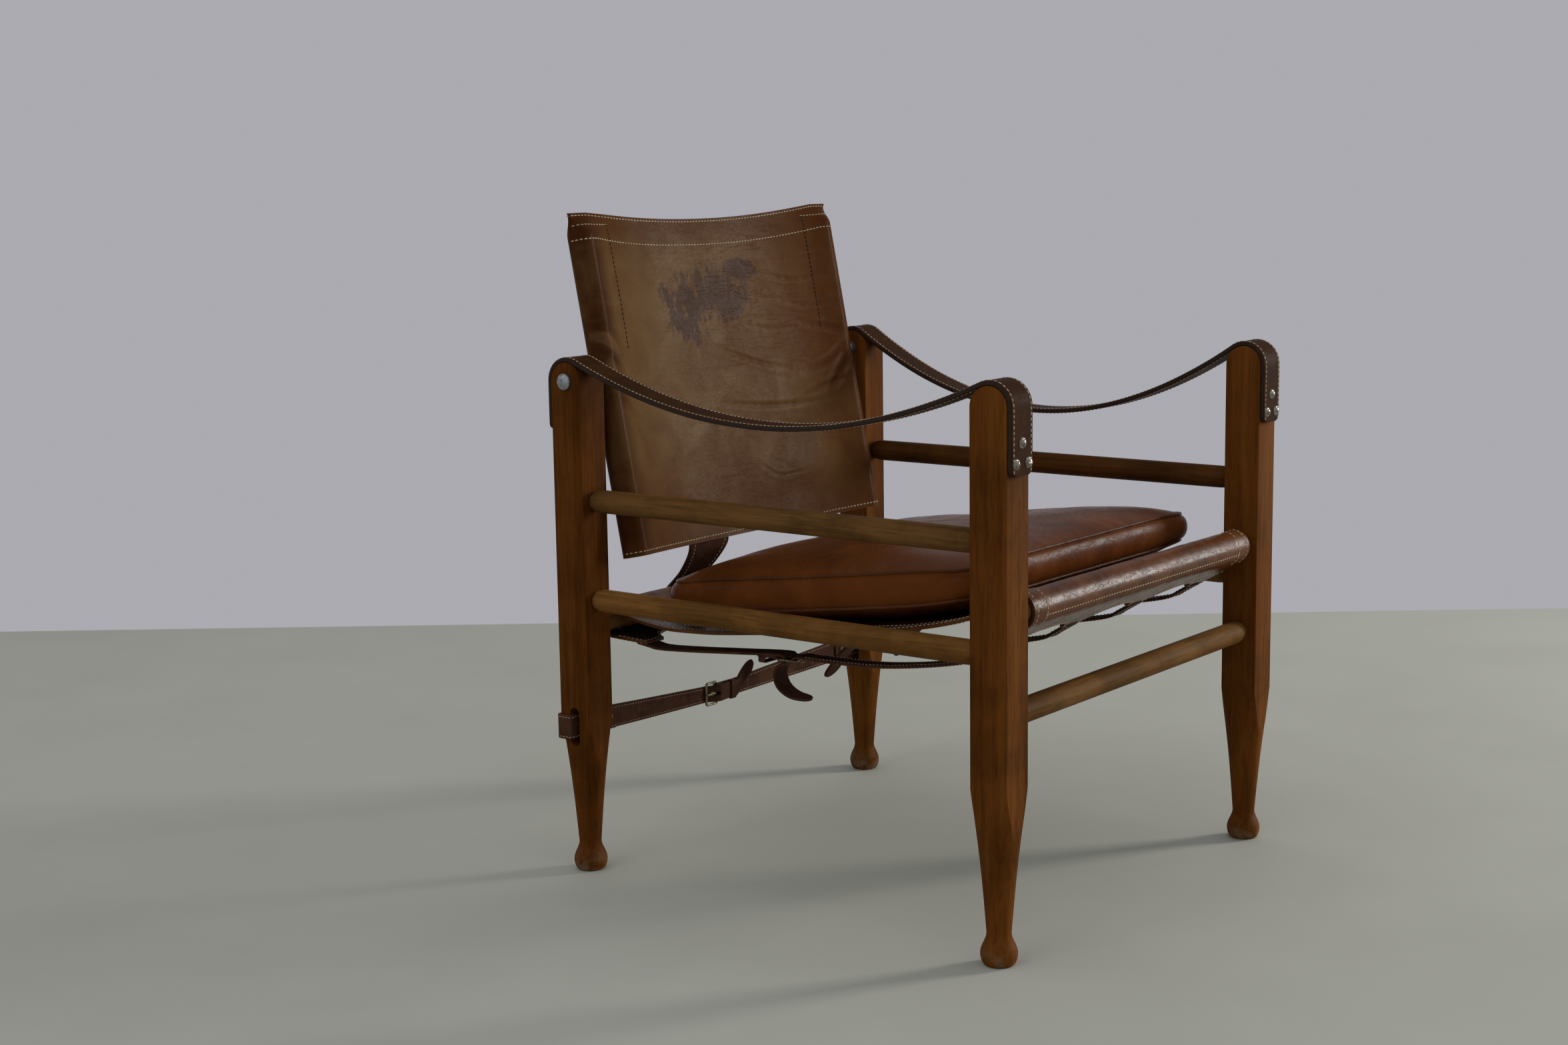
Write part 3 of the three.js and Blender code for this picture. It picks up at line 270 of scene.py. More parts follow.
class Paint:
    # a small helper to wire one material's nodes
    def __init__(self, name):
        self.material = bpy.data.materials.new(name)
        self.material.use_nodes = True
        self.tree = self.material.node_tree
        self.shader = self.tree.nodes["Principled BSDF"]

    def add(self, kind, **values):
        node = self.tree.nodes.new(kind)
        for key, value in values.items():
            if hasattr(node, key):
                setattr(node, key, value)
            else:
                node.inputs[key.replace("_", " ")].default_value = value
        return node

    def link(self, start, end):
        self.tree.links.new(start, end)
        return start

    def coords(self, source="Object", scale=(1, 1, 1), turn=(0, 0, 0)):
        texture = self.add("ShaderNodeTexCoord")
        mapping = self.add("ShaderNodeMapping")
        mapping.inputs["Scale"].default_value = scale
        mapping.inputs["Rotation"].default_value = turn
        self.link(texture.outputs[source], mapping.inputs["Vector"])
        return mapping.outputs["Vector"]

    def noise(self, vector, scale, detail=4, rough=0.5, distort=0.0):
        node = self.add("ShaderNodeTexNoise", Scale=scale, Detail=detail, Roughness=rough, Distortion=distort)
        self.link(vector, node.inputs["Vector"])
        return node.outputs["Fac"]

    def cells(self, vector, scale, feature="DISTANCE_TO_EDGE"):
        node = self.add("ShaderNodeTexVoronoi", feature=feature, Scale=scale)
        self.link(vector, node.inputs["Vector"])
        return node.outputs["Distance"]

    def ramp(self, value, stops):
        node = self.add("ShaderNodeValToRGB")
        self.link(value, node.inputs["Fac"])
        band = node.color_ramp
        while len(band.elements) < len(stops):
            band.elements.new(0.5)
        for element, (place, colour) in zip(band.elements, stops):
            element.position = place
            element.color = (*colour, 1) if len(colour) == 3 else colour
        return node.outputs["Color"]

    def grey(self, value, low, high, start=0.0, end=1.0):
        node = self.add("ShaderNodeMapRange")
        self.link(value, node.inputs["Value"])
        for key, number in (("From Min", low), ("From Max", high), ("To Min", start), ("To Max", end)):
            node.inputs[key].default_value = number
        return node.outputs["Result"]

    def math(self, operation, a, b=None):
        node = self.add("ShaderNodeMath", operation=operation)
        for socket, value in zip(node.inputs, (a, b)):
            if value is None:
                continue
            if isinstance(value, (int, float)):
                socket.default_value = value
            else:
                self.link(value, socket)
        return node.outputs[0]

    def mix(self, amount, a, b, blend="MIX"):
        node = self.add("ShaderNodeMix", data_type="RGBA", blend_type=blend)
        for socket, value in ((node.inputs[0], amount), (node.inputs[6], a), (node.inputs[7], b)):
            if isinstance(value, (int, float)):
                socket.default_value = value
            elif isinstance(value, tuple):
                socket.default_value = (*value, 1)
            else:
                self.link(value, socket)
        return node.outputs[2]

    def attribute(self, name):
        return self.add("ShaderNodeAttribute", attribute_name=name).outputs["Fac"]

    def split(self, vector):
        node = self.add("ShaderNodeSeparateXYZ")
        self.link(vector, node.inputs[0])
        return node.outputs

    def bump(self, height, strength, distance, under=None):
        node = self.add("ShaderNodeBump", Strength=strength, Distance=distance)
        self.link(height, node.inputs["Height"])
        if under is not None:
            self.link(under, node.inputs["Normal"])
        return node.outputs["Normal"]

    def done(self, colour=None, rough=None, normal=None, **fixed):
        for socket, value in (("Base Color", colour), ("Roughness", rough), ("Normal", normal)):
            if value is None:
                continue
            if isinstance(value, (int, float)):
                self.shader.inputs[socket].default_value = value
            elif isinstance(value, tuple):
                self.shader.inputs[socket].default_value = (*value, 1)
            else:
                self.link(value, self.shader.inputs[socket])
        for key, value in fixed.items():
            self.shader.inputs[key.replace("_", " ")].default_value = value
        return self.material


wood = {
    "legDark": (0.095, 0.029, 0.0045),
    "legMiddle": (0.142, 0.045, 0.0070),
    "legLight": (0.205, 0.072, 0.012),
    "railDark": (0.105, 0.043, 0.011),
    "railMiddle": (0.170, 0.078, 0.022),
    "railLight": (0.240, 0.125, 0.042),
    "wornFoot": (0.20, 0.14, 0.085),
    "bump": 0.15,
}


def woodMaterial(name, dark, middle, light, grainAxis, worn=False):
    paint = Paint(name)
    stretch = {"z": (1, 1, 0.05), "y": (1, 0.05, 1), "x": (0.05, 1, 1)}[grainAxis]
    vector = paint.coords(scale=stretch)
    broad = paint.noise(vector, 22, 5, 0.6, 0.6)
    fibres = paint.noise(vector, 190, 6, 0.65, 0.2)
    pores = paint.noise(vector, 620, 3, 0.6)
    patches = paint.noise(paint.coords(), 9, 4, 0.6)
    colour = paint.ramp(broad, [(0.26, dark), (0.5, middle), (0.74, light)])
    streak = paint.grey(fibres, 0.36, 0.62, 0.72, 1.10)
    colour = paint.mix(1.0, colour, paint.mix(streak, (0, 0, 0), (1, 1, 1)), "MULTIPLY")
    poreMask = paint.grey(pores, 0.32, 0.44, 0.68, 1.0)
    colour = paint.mix(1.0, colour, paint.mix(poreMask, (0, 0, 0), (1, 1, 1)), "MULTIPLY")
    stain = paint.grey(patches, 0.38, 0.62, 0.66, 1.15)
    colour = paint.mix(1.0, colour, paint.mix(stain, (0, 0, 0), (1, 1, 1)), "MULTIPLY")
    if worn:
        height = paint.split(paint.coords())[2]
        low = paint.math("ADD", height, paint.math("MULTIPLY", patches, 0.03))
        footWear = paint.grey(low, 0.012, 0.045, 0.75, 0.0)
        scuff = paint.math("MULTIPLY", footWear, paint.grey(paint.noise(paint.coords(), 95, 4), 0.42, 0.62))
        colour = paint.mix(scuff, colour, wood["wornFoot"])
    rough = paint.grey(fibres, 0.3, 0.7, 0.42, 0.6)
    normal = paint.bump(fibres, wood["bump"], 0.0006)
    normal = paint.bump(pores, 0.2, 0.0003, normal)
    return paint.done(colour, rough, normal, Specular_IOR_Level=0.02)


legWood = woodMaterial("oiledLegWood", wood["legDark"], wood["legMiddle"], wood["legLight"], "z", worn=True)
crossRailWood = woodMaterial("oiledCrossRail", wood["railDark"], wood["railMiddle"], wood["railLight"], "x")
stileWood = woodMaterial("oiledStile", wood["railDark"], wood["railMiddle"], wood["railLight"], "z")

leather = {
    "backTan": (0.112, 0.050, 0.0165),
    "backOlive": (0.150, 0.080, 0.029),
    "backRollShadeAndEdge": (0.045, 0.012, 0.003),
    "backRed": (0.092, 0.029, 0.0075),
    "backHem": (0.082, 0.029, 0.008),
    "backStainAndCreaseShade": (0.052, 0.024, 0.016),
    "cushionTan": (0.150, 0.043, 0.008),
    "cushionDark": (0.070, 0.018, 0.004),
    "slingTan": (0.120, 0.038, 0.010),
    "slingUnder": (0.050, 0.036, 0.028),
    "backReverse": (0.105, 0.062, 0.038),
    "strapBrown": (0.050, 0.020, 0.0075),
    "strapDark": (0.031, 0.012, 0.005),
    "rawEdge": (0.016, 0.009, 0.007),
    "grainScale": 900.0,
}


def leatherLook(paint, colour, rough, grain=0.35, crease=0.3, scale=1.0):
    # fine pebble grain, small creases and pores over a colour, with painted shade in the creases
    vector = paint.coords()
    pebble = paint.cells(vector, leather["grainScale"] * scale)
    fine = paint.noise(vector, 420 * scale, 5, 0.6)
    lines = paint.noise(paint.coords(scale=(1, 1, 2.6)), 46, 5, 0.65, 1.2)
    fold = paint.grey(paint.math("ABSOLUTE", paint.math("SUBTRACT", lines, 0.5)), 0.0, 0.02)
    # painted shade: the fold lines are pulled toward a near-black brown
    creaseShaded = paint.mix(paint.grey(fold, 0.0, 1.0, 0.5 * crease, 0.0), colour, (0.02, 0.008, 0.004))
    normal = paint.bump(pebble, grain, 0.00022)
    normal = paint.bump(fine, grain * 0.7, 0.0005, normal)
    normal = paint.bump(fold, crease, 0.0003, normal)
    return creaseShaded, paint.math("ADD", rough, paint.grey(fine, 0.3, 0.7, -0.07, 0.07)), normal


def strapMaterial(name, base, dark, gloss=0.42):
    paint = Paint(name)
    clouds = paint.noise(paint.coords(), 28, 5, 0.6)
    colour = paint.ramp(clouds, [(0.3, dark), (0.65, base)])
    worn = paint.grey(paint.noise(paint.coords(), 120, 4), 0.56, 0.7, 0.0, 0.3)
    colour = paint.mix(worn, colour, tuple(min(1, 2.2 * c) for c in base))
    rough = paint.grey(clouds, 0.3, 0.7, gloss - 0.06, gloss + 0.12)
    colour, rough, normal = leatherLook(paint, colour, rough, 0.3, 0.2)
    return paint.done(colour, rough, normal, Specular_IOR_Level=0.015)


strapLeather = strapMaterial("brownStrapLeather", leather["strapBrown"], leather["strapDark"])
tieLeather = strapMaterial("redBrownStrapLeather", (0.085, 0.038, 0.022), (0.04, 0.018, 0.012), 0.48)
underLeather = strapMaterial("darkUnderLeather", leather["slingUnder"], (0.026, 0.018, 0.015), 0.6)
backReverse = strapMaterial("suedeBackReverse", leather["backReverse"], (0.060, 0.036, 0.022), 0.7)


def edgeMaterial():
    paint = Paint("rawLeatherEdge")
    fibres = paint.noise(paint.coords(), 700, 4, 0.7)
    colour = paint.ramp(fibres, [(0.3, leather["rawEdge"]), (0.75, (0.045, 0.024, 0.015))])
    return paint.done(colour, 0.62, paint.bump(fibres, 0.4, 0.0004), Specular_IOR_Level=0.15)


rawEdge = edgeMaterial()


def metalMaterial(name, bright, dull, rough, metallic=1.0):
    paint = Paint(name)
    spots = paint.noise(paint.coords(), 260, 5, 0.65)
    colour = paint.ramp(spots, [(0.35, dull), (0.6, bright)])
    roughness = paint.grey(spots, 0.35, 0.65, rough + 0.15, rough)
    normal = paint.bump(paint.noise(paint.coords(), 900, 3), 0.15, 0.0002)
    return paint.done(colour, roughness, normal, Metallic=metallic)


nickel = metalMaterial("brightNickel", (0.40, 0.37, 0.32), (0.16, 0.14, 0.11), 0.24)
zinc = metalMaterial("dullZinc", (0.42, 0.44, 0.45), (0.22, 0.23, 0.23), 0.38)
brass = metalMaterial("wornBrass", (0.28, 0.23, 0.14), (0.09, 0.07, 0.045), 0.36)


def threadMaterial(name, light, dark):
    paint = Paint(name)
    fleck = paint.noise(paint.coords(), 1400, 3)
    soil = paint.noise(paint.coords(), 60, 4)
    colour = paint.mix(paint.grey(soil, 0.35, 0.65, 0.0, 0.8), light, dark)
    return paint.done(colour, 0.8, paint.bump(fleck, 0.5, 0.0003), Specular_IOR_Level=0.1)


creamThread = threadMaterial("creamThread", (0.64, 0.52, 0.36), (0.36, 0.26, 0.15))
darkThread = threadMaterial("darkThread", (0.05, 0.028, 0.018), (0.022, 0.012, 0.008))
print("plain materials ready")


# Stitches: Geometry Nodes along sewn rows

stitch = {"pitch": 5.3, "length": 4.2, "width": 1.45, "height": 1.0, "lean": 4.0, "seed": 7}


def stitchTree():
    tree = bpy.data.node_groups.new("sewnStitches", "GeometryNodeTree")
    face = tree.interface
    face.new_socket("Geometry", in_out="INPUT", socket_type="NodeSocketGeometry")
    for title in ("Stitch Pitch", "Stitch Length", "Stitch Width", "Stitch Height"):
        face.new_socket(title, in_out="INPUT", socket_type="NodeSocketFloat")
    face.new_socket("Lean", in_out="INPUT", socket_type="NodeSocketFloat")
    face.new_socket("Seed", in_out="INPUT", socket_type="NodeSocketInt")
    face.new_socket("Thread", in_out="INPUT", socket_type="NodeSocketMaterial")
    face.new_socket("Geometry", in_out="OUTPUT", socket_type="NodeSocketGeometry")
    new, link = tree.nodes.new, tree.links.new
    start, end = new("NodeGroupInput"), new("NodeGroupOutput")
    line = new("GeometryNodeMeshToCurve")
    even = new("GeometryNodeResampleCurve")
    even.mode = "LENGTH"
    ball = new("GeometryNodeMeshUVSphere")
    ball.inputs["Segments"].default_value = 6
    ball.inputs["Rings"].default_value = 5
    ball.inputs["Radius"].default_value = 0.5
    size = new("ShaderNodeCombineXYZ")
    shape = new("GeometryNodeTransform")
    tangent = new("GeometryNodeInputTangent")
    up = new("GeometryNodeInputNamedAttribute")
    up.data_type = "FLOAT_VECTOR"
    up.inputs["Name"].default_value = "faceUp"
    along = new("FunctionNodeAlignRotationToVector")
    along.axis = "X"
    flat = new("FunctionNodeAlignRotationToVector")
    flat.axis = "Z"
    flat.pivot_axis = "X"
    wobble = new("FunctionNodeRandomValue")
    wobble.data_type = "FLOAT"
    lower = new("ShaderNodeMath")
    lower.operation = "MULTIPLY"
    lower.inputs[1].default_value = -1
    spin = new("ShaderNodeCombineXYZ")
    toTurn = new("FunctionNodeEulerToRotation")
    twisted = new("FunctionNodeRotateRotation")
    twisted.rotation_space = "LOCAL"
    many = new("GeometryNodeInstanceOnPoints")
    real = new("GeometryNodeRealizeInstances")
    paint = new("GeometryNodeSetMaterial")
    link(start.outputs["Geometry"], line.inputs["Mesh"])
    link(line.outputs["Curve"], even.inputs["Curve"])
    link(start.outputs["Stitch Pitch"], even.inputs["Length"])
    for key, axis in (("Stitch Length", 0), ("Stitch Width", 1), ("Stitch Height", 2)):
        link(start.outputs[key], size.inputs[axis])
    link(ball.outputs["Mesh"], shape.inputs["Geometry"])
    link(size.outputs[0], shape.inputs["Scale"])
    link(tangent.outputs[0], along.inputs["Vector"])
    link(along.outputs[0], flat.inputs["Rotation"])
    link(up.outputs["Attribute"], flat.inputs["Vector"])
    link(start.outputs["Lean"], wobble.inputs[3])
    link(start.outputs["Lean"], lower.inputs[0])
    link(lower.outputs[0], wobble.inputs[2])
    link(start.outputs["Seed"], wobble.inputs["Seed"])
    link(wobble.outputs[1], spin.inputs[2])
    link(spin.outputs[0], toTurn.inputs[0])
    link(flat.outputs[0], twisted.inputs["Rotation"])
    link(toTurn.outputs[0], twisted.inputs["Rotate By"])
    link(even.outputs["Curve"], many.inputs["Points"])
    link(shape.outputs["Geometry"], many.inputs["Instance"])
    link(twisted.outputs[0], many.inputs["Rotation"])
    link(many.outputs["Instances"], real.inputs["Geometry"])
    link(real.outputs["Geometry"], paint.inputs["Geometry"])
    link(start.outputs["Thread"], paint.inputs["Material"])
    link(paint.outputs["Geometry"], end.inputs["Geometry"])
    return tree


stitches = stitchTree()


def sew(name, rows, body, slot, thread, **sizes):
    # rows: (points, normals) in mm, each row sewn with separate stitches that lie on the leather
    values = {**stitch, **sizes}
    points, ups, edges = [], [], []
    for line, normal in rows:
        line, normal = np.asarray(line, float), unit(np.asarray(normal, float))
        base = len(points)
        points += list(line + normal * 0.1)
        ups += list(normal)
        edges += [(base + i, base + i + 1) for i in range(len(line) - 1)]
    mesh = bpy.data.meshes.new(name)
    mesh.from_pydata((np.array(points) * mm).tolist(), edges, [])
    up = mesh.attributes.new("faceUp", "FLOAT_VECTOR", "POINT")
    up.data.foreach_set("vector", np.array(ups, float).ravel())
    obj = bpy.data.objects.new(name, mesh)
    scene.collection.objects.link(obj)
    modifier = obj.modifiers.new("stitches", "NODES")
    modifier.node_group = stitches
    given = {"Stitch Pitch": values["pitch"] * mm, "Stitch Length": values["length"] * mm,
             "Stitch Width": values["width"] * mm, "Stitch Height": values["height"] * mm,
             "Lean": math.radians(values["lean"]), "Seed": values["seed"], "Thread": thread}
    for item in stitches.interface.items_tree:
        if item.in_out == "INPUT" and item.name in given:
            modifier[item.identifier] = given[item.name]
    bake(obj)
    onlyMaterial(obj, thread)
    obj.data.shade_smooth()
    if body:
        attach(obj, body)
    return obj


# Straps: a flat band with soft edges along a line

def roundedSection(halfWidth, halfThick, soft):
    # outline of the band's section as (across, out) pairs
    soft = min(soft, halfThick, halfWidth)
    corners = [(1, 1, 0), (-1, 1, 1), (-1, -1, 2), (1, -1, 3)]
    points = []
    for sx, sy, quarter in corners:
        turn = math.pi / 2 * (quarter + np.linspace(0, 1, 4))
        points += list(zip(sx * (halfWidth - soft) + soft * np.cos(turn), sy * (halfThick - soft) + soft * np.sin(turn)))
    # extra points across each face keep the grain and the shading even
    dense = []
    for i, (a, b) in enumerate(zip(points, points[1:] + points[:1])):
        steps = 6 if i in (3, 11) else 1
        dense += [(a[0] + (b[0] - a[0]) * k / steps, a[1] + (b[1] - a[1]) * k / steps) for k in range(steps)]
    return np.array(dense)


def strapFrame(line):
    # tangents and left-hand normals of a flat line of (a, b) points
    ahead = unit(np.gradient(line, axis=0))
    return ahead, np.stack([-ahead[:, 1], ahead[:, 0]], axis=1)


def endRound(s, half, radius, atStart=True, atEnd=True):
    # half width that follows rounded corners at the ends of the strap
    width = np.array(half, float).copy() if np.ndim(half) else np.full(len(s), float(half))
    for at, d in ((atStart, s - s[0]), (atEnd, s[-1] - s)):
        if at:
            near = d < radius
            width[near] -= radius - np.sqrt(np.maximum(radius ** 2 - (radius - d[near]) ** 2, 0))
    return width


def strap(name, line, place, half, thick, middle=None, soft=0.9, wobble=0.25, seed=1.0):
    # line: (a, b) points in mm; place(a, b, c) puts them in the chair's frame, with c across the strap
    line = np.asarray(line, float)
    ahead, normal = strapFrame(line)
    half = np.broadcast_to(half, (len(line),))
    middle = np.zeros(len(line)) if middle is None else middle
    lift = wobble * ripple(np.column_stack([line, np.zeros(len(line))]), 45.0, seed)
    rings = []
    for i in range(len(line)):
        section = roundedSection(half[i], thick / 2, soft)
        a = line[i, 0] + normal[i, 0] * (section[:, 1] + lift[i])
        b = line[i, 1] + normal[i, 1] * (section[:, 1] + lift[i])
        rings.append(np.stack(place(a, b, section[:, 0] + middle[i]), axis=1))
    obj = surface(name, rings, along=lengths(line))
    return obj


def strapRow(line, place, across, out, middle=None, start=0.0, end=None):
    # a sewn row on a strap: at across from its middle line and out from its centre layer
    line = np.asarray(line, float)
    ahead, normal = strapFrame(line)
    s = lengths(line)
    keep = (s >= start) & (s <= (s[-1] if end is None else s[-1] - end))
    middle = np.zeros(len(line)) if middle is None else middle
    across = np.broadcast_to(across, (len(line),))
    a, b = (line + normal * out).T
    base = np.stack(place(a, b, across + middle), axis=1)
    lifted = np.stack(place(a + normal[:, 0] * np.sign(out), b + normal[:, 1] * np.sign(out), across + middle), axis=1)
    return base[keep], (lifted - base)[keep]


# Legs

leg = {
    "padDiameter": 26.0, "ballDiameter": 37.5, "ballHeight": 12.0,
    "ankleDiameter": 25.0, "ankleHeight": 33.0, "shoulderShare": 0.322,
    "taperHollow": 1.6, "edgeSoftness": 1.1,
    "slotWidth": 14.0, "slotHeight": 44.0,
}


def legProfile():
    pad, ball, ankle = leg["padDiameter"] / 2, leg["ballDiameter"] / 2, leg["ankleDiameter"] / 2
    corner = math.hypot(chair["legWidth"], chair["legDepth"]) / 2 + 0.3
    shoulder = leg["shoulderShare"] * chair["legHeight"]
    profile = [(0, 0), (pad - 1.2, 0)]
    for turn in np.linspace(0.12, math.pi / 2, 12):
        profile.append((pad + (ball - pad) * math.sin(turn), leg["ballHeight"] * (1 - math.cos(turn))))
    for share in np.linspace(0, 1, 16)[1:]:
        height = leg["ballHeight"] + (leg["ankleHeight"] - leg["ballHeight"]) * share
        profile.append(((ball + ankle) / 2 + (ball - ankle) / 2 * math.cos(math.pi * share), height))
    for share in np.linspace(0, 1, 28)[1:]:
        radius = ankle + (corner - ankle) * share - leg["taperHollow"] * math.sin(math.pi * share)
        profile.append((radius, leg["ankleHeight"] + (shoulder - leg["ankleHeight"]) * share))
    profile += [(corner, chair["legHeight"] + 20), (0, chair["legHeight"] + 20)]
    return profile


def slotTool(x, y, z, deep):
    half, straight = leg["slotWidth"] / 2, leg["slotHeight"] / 2 - leg["slotWidth"] / 2
    top = arc(y, z + straight, half, 0, math.pi, 16)
    bottom = arc(y, z - straight, half, math.pi, 2 * math.pi, 16)
    outline = np.vstack([top, bottom])
    rings = [np.column_stack([np.full(len(outline), x + side * deep / 2), outline]) for side in (-1, 1)]
    return surface("slotTool", rings)


def makeLeg(name, x, y, slotted):
    half, arch = chair["legDepth"] / 2, chair["archRadius"]
    outline = np.vstack([[[y - half, -5]], [[y + half, -5]], arc(y, pivotZ, arch, 0, math.pi, 56)])
    rings = [np.column_stack([np.full(len(outline), x + side * chair["legWidth"] / 2), outline]) for side in (-1, 1)]
    blank = surface(name, rings)
    softened = blank.modifiers.new("soft edges", "BEVEL")
    softened.width = leg["edgeSoftness"] * mm
    softened.segments = 3
    softened.limit_method = "ANGLE"
    softened.angle_limit = math.radians(40)
    bake(blank)
    lathe = turned("legTurning", legProfile(), (x, y, 0), "z", 96)
    cutAway(blank, lathe, "INTERSECT")
    if slotted:
        slotZ = tieZ - 14 - leg["slotWidth"] / 2 + leg["slotHeight"] / 2
        cutAway(blank, slotTool(x, y, slotZ, 80))
    return shade(blank, 24)


for sideName, side in (("left", -1), ("right", 1)):
    for endName, y in (("front", frontY), ("rear", rearY)):
        node = f"leg_{endName}_{sideName}"
        piece = makeLeg(f"turnedLeg_{endName}_{sideName}", side * legX, y, endName == "rear")
        finish(piece, "frame", "leg_wood", [legWood], node)
print("legs turned")

# Rails

rail = {"diameter": 25.5, "seatDiameter": 28.0, "tenonDiameter": 18.0, "tenonLength": 26.0, "nose": 16.0}


def makeRail(name, node, half, diameter, centre, axis, material):
    tenon, radius = rail["tenonDiameter"] / 2, diameter / 2
    end = [(0, -half - rail["tenonLength"]), (tenon, -half - rail["tenonLength"]), (tenon, -half + 0.3)]
    for turn in np.linspace(0, math.pi / 2, 10)[1:]:
        end.append((tenon + (radius - tenon) * math.sin(turn), -half + 0.3 + rail["nose"] * (1 - math.cos(turn))))
    inner = [(radius, h) for h in np.linspace(-half + 20, half - 20, 24)]
    profile = end + inner + [(r, -h) for r, h in reversed(end)]
    piece = turned(name, profile, centre, axis, 56)
    return finish(piece, "frame", "rail_wood", [material], node)


# the side rails are lit and shaded copies of one wood, how much lighter or deeper than the other rails in red, green
# and blue: the near lower left rail is lighter, partly golden wood and partly painted light; the far upper right rail
# is deeper and redder, partly reddish wood and partly painted shade
railLitAndShadedTones = {
    "upper_left": (0.92, 0.92, 0.92), "lower_left": (1.40, 1.38, 1.25),
    "upper_right": (0.62, 0.50, 0.42), "lower_right": (1.0, 1.0, 1.0),
}
sideHalf = legY - chair["legDepth"] / 2
for sideName, side in (("left", -1), ("right", 1)):
    for level, z in (("upper", upperRailZ), ("lower", lowerRailZ)):
        tone = railLitAndShadedTones[f"{level}_{sideName}"]
        shades = [tuple(c * t for c, t in zip(wood[key], tone)) for key in ("railDark", "railMiddle", "railLight")]
        makeRail(f"sideRail_{level}_{sideName}", f"rail_{level}_{sideName}", sideHalf, rail["diameter"],
                 (side * legX, middleY, z), "y", woodMaterial(f"oiledRail_{level}_{sideName}", *shades, "y"))
makeRail("seatRailFront", "rail_seat_front", innerFace, rail["seatDiameter"], (0, frontY, frontRailZ), "x", crossRailWood)
makeRail("seatRailRear", "rail_seat_rear", innerFace, rail["seatDiameter"], (0, rearY, rearRailZ), "x", crossRailWood)
makeRail("frontStretcher", "stretcher_front", innerFace, rail["diameter"], (0, frontY, stretcherZ), "x", crossRailWood)
print("rails turned")

# Arm straps

armStrap = {
    "width": 38.0, "thickness": 5.0, "endRadius": 7.0, "frontDrop": 86.0, "rearDrop": 75.0,
    "dips": {"left": 23.5, "right": 33.7}, "stitchInset": 3.6,
}
screwPlaces = [(0, 31.5), (-11, 12), (11, 12)]


def armEndZ(end):
    return chair["legHeight"] - (armStrap["frontDrop"] if end < 0 else armStrap["rearDrop"])


def armLine(dipDegrees):
    radius = chair["archRadius"] + chair["seat"] + armStrap["thickness"] / 2
    dip = math.radians(dipDegrees)
    leaveY, leaveZ = legY - radius * math.sin(dip), pivotZ + radius * math.cos(dip)
    sag = leaveY * math.tan(dip) / 2
    span = [(y, leaveZ - sag * (1 - (y / leaveY) ** 2)) for y in np.linspace(leaveY, -leaveY, 60)[1:-1]]
    up = math.pi / 2
    points = [(legY + radius, armEndZ(1)), (legY + radius, (armEndZ(1) + pivotZ) / 2)]
    points += list(arc(legY, pivotZ, radius, 0, up + dip, 18)) + span
    points += list(arc(-legY, pivotZ, radius, up - dip, math.pi, 18))
    points += [(-legY - radius, (armEndZ(-1) + pivotZ) / 2), (-legY - radius, armEndZ(-1))]
    return smoothLine(np.array(points) + (middleY, 0), 2.4)


for sideName, side in (("left", -1), ("right", 1)):
    line = armLine(armStrap["dips"][sideName])
    s = lengths(line)
    sideways = 0.9 * np.sin(math.pi * s / s[-1]) * ripple(np.column_stack([line, line[:, 0] * 0]), 160.0, 3 + side)

    def onArm(a, b, c, x=side * legX):
        return x + c, a, b

    half = endRound(s, armStrap["width"] / 2, armStrap["endRadius"])
    piece = strap(f"armStrap_{sideName}", line, onArm, half, armStrap["thickness"], sideways, 1.3, 0.2, 2 + side)
    finish(piece, "frame", "strap_leather", [strapLeather, rawEdge], f"arm_strap_{sideName}")
    for polygon in piece.data.polygons:
        across = abs(polygon.normal.x)
        if across > 0.85:
            polygon.material_index = 1
    rows = []
    inset = armStrap["stitchInset"]
    thick = armStrap["thickness"] / 2
    widthRow = np.maximum(half - inset, 0.5)
    for out in (thick, -thick):
        for sign in (-1, 1):
            rows.append(strapRow(line, onArm, sign * widthRow, out, sideways, inset + 1, inset + 1))
    sew(f"armStrapStitches_{sideName}", rows, "frame", "strap_leather", creamThread)
print("arm straps laid")

# Screws with cup washers, and the other turned metal

screw = {"cupDiameter": 11.5, "cupHeight": 1.7, "headDiameter": 7.4, "headHeight": 2.0, "slotWidth": 1.1, "sides": 28}


def screwMesh():
    cup, head = screw["cupDiameter"] / 2, screw["headDiameter"] / 2
    profile = [(0, 0), (cup, 0), (cup, 0.25)]
    profile += [(cup - (cup - head - 0.3) * t, 0.25 + screw["cupHeight"] * math.sin(math.pi / 2 * t)) for t in (0.25, 0.5, 0.75, 1)]
    profile += [(head, screw["cupHeight"] - 0.3)]
    base = screw["cupHeight"] - 0.1
    for turn in np.linspace(0, math.pi / 2, 6)[:-1]:
        profile.append((head * math.cos(turn), base + screw["headHeight"] * math.sin(turn)))
    profile.append((0, base + screw["headHeight"]))
    body = turned("screwPattern", profile, (0, 0, 0), "z", screw["sides"])
    half, deep = screw["slotWidth"] / 2, 1.2
    top = base + screw["headHeight"]
    corners = np.array([(-head, -half), (head, -half), (head, half), (-head, half)])
    rings = [np.column_stack([corners, np.full(4, z)]) for z in (top - deep, top + 2)]
    return cutAway(body, surface("slotCut", rings))


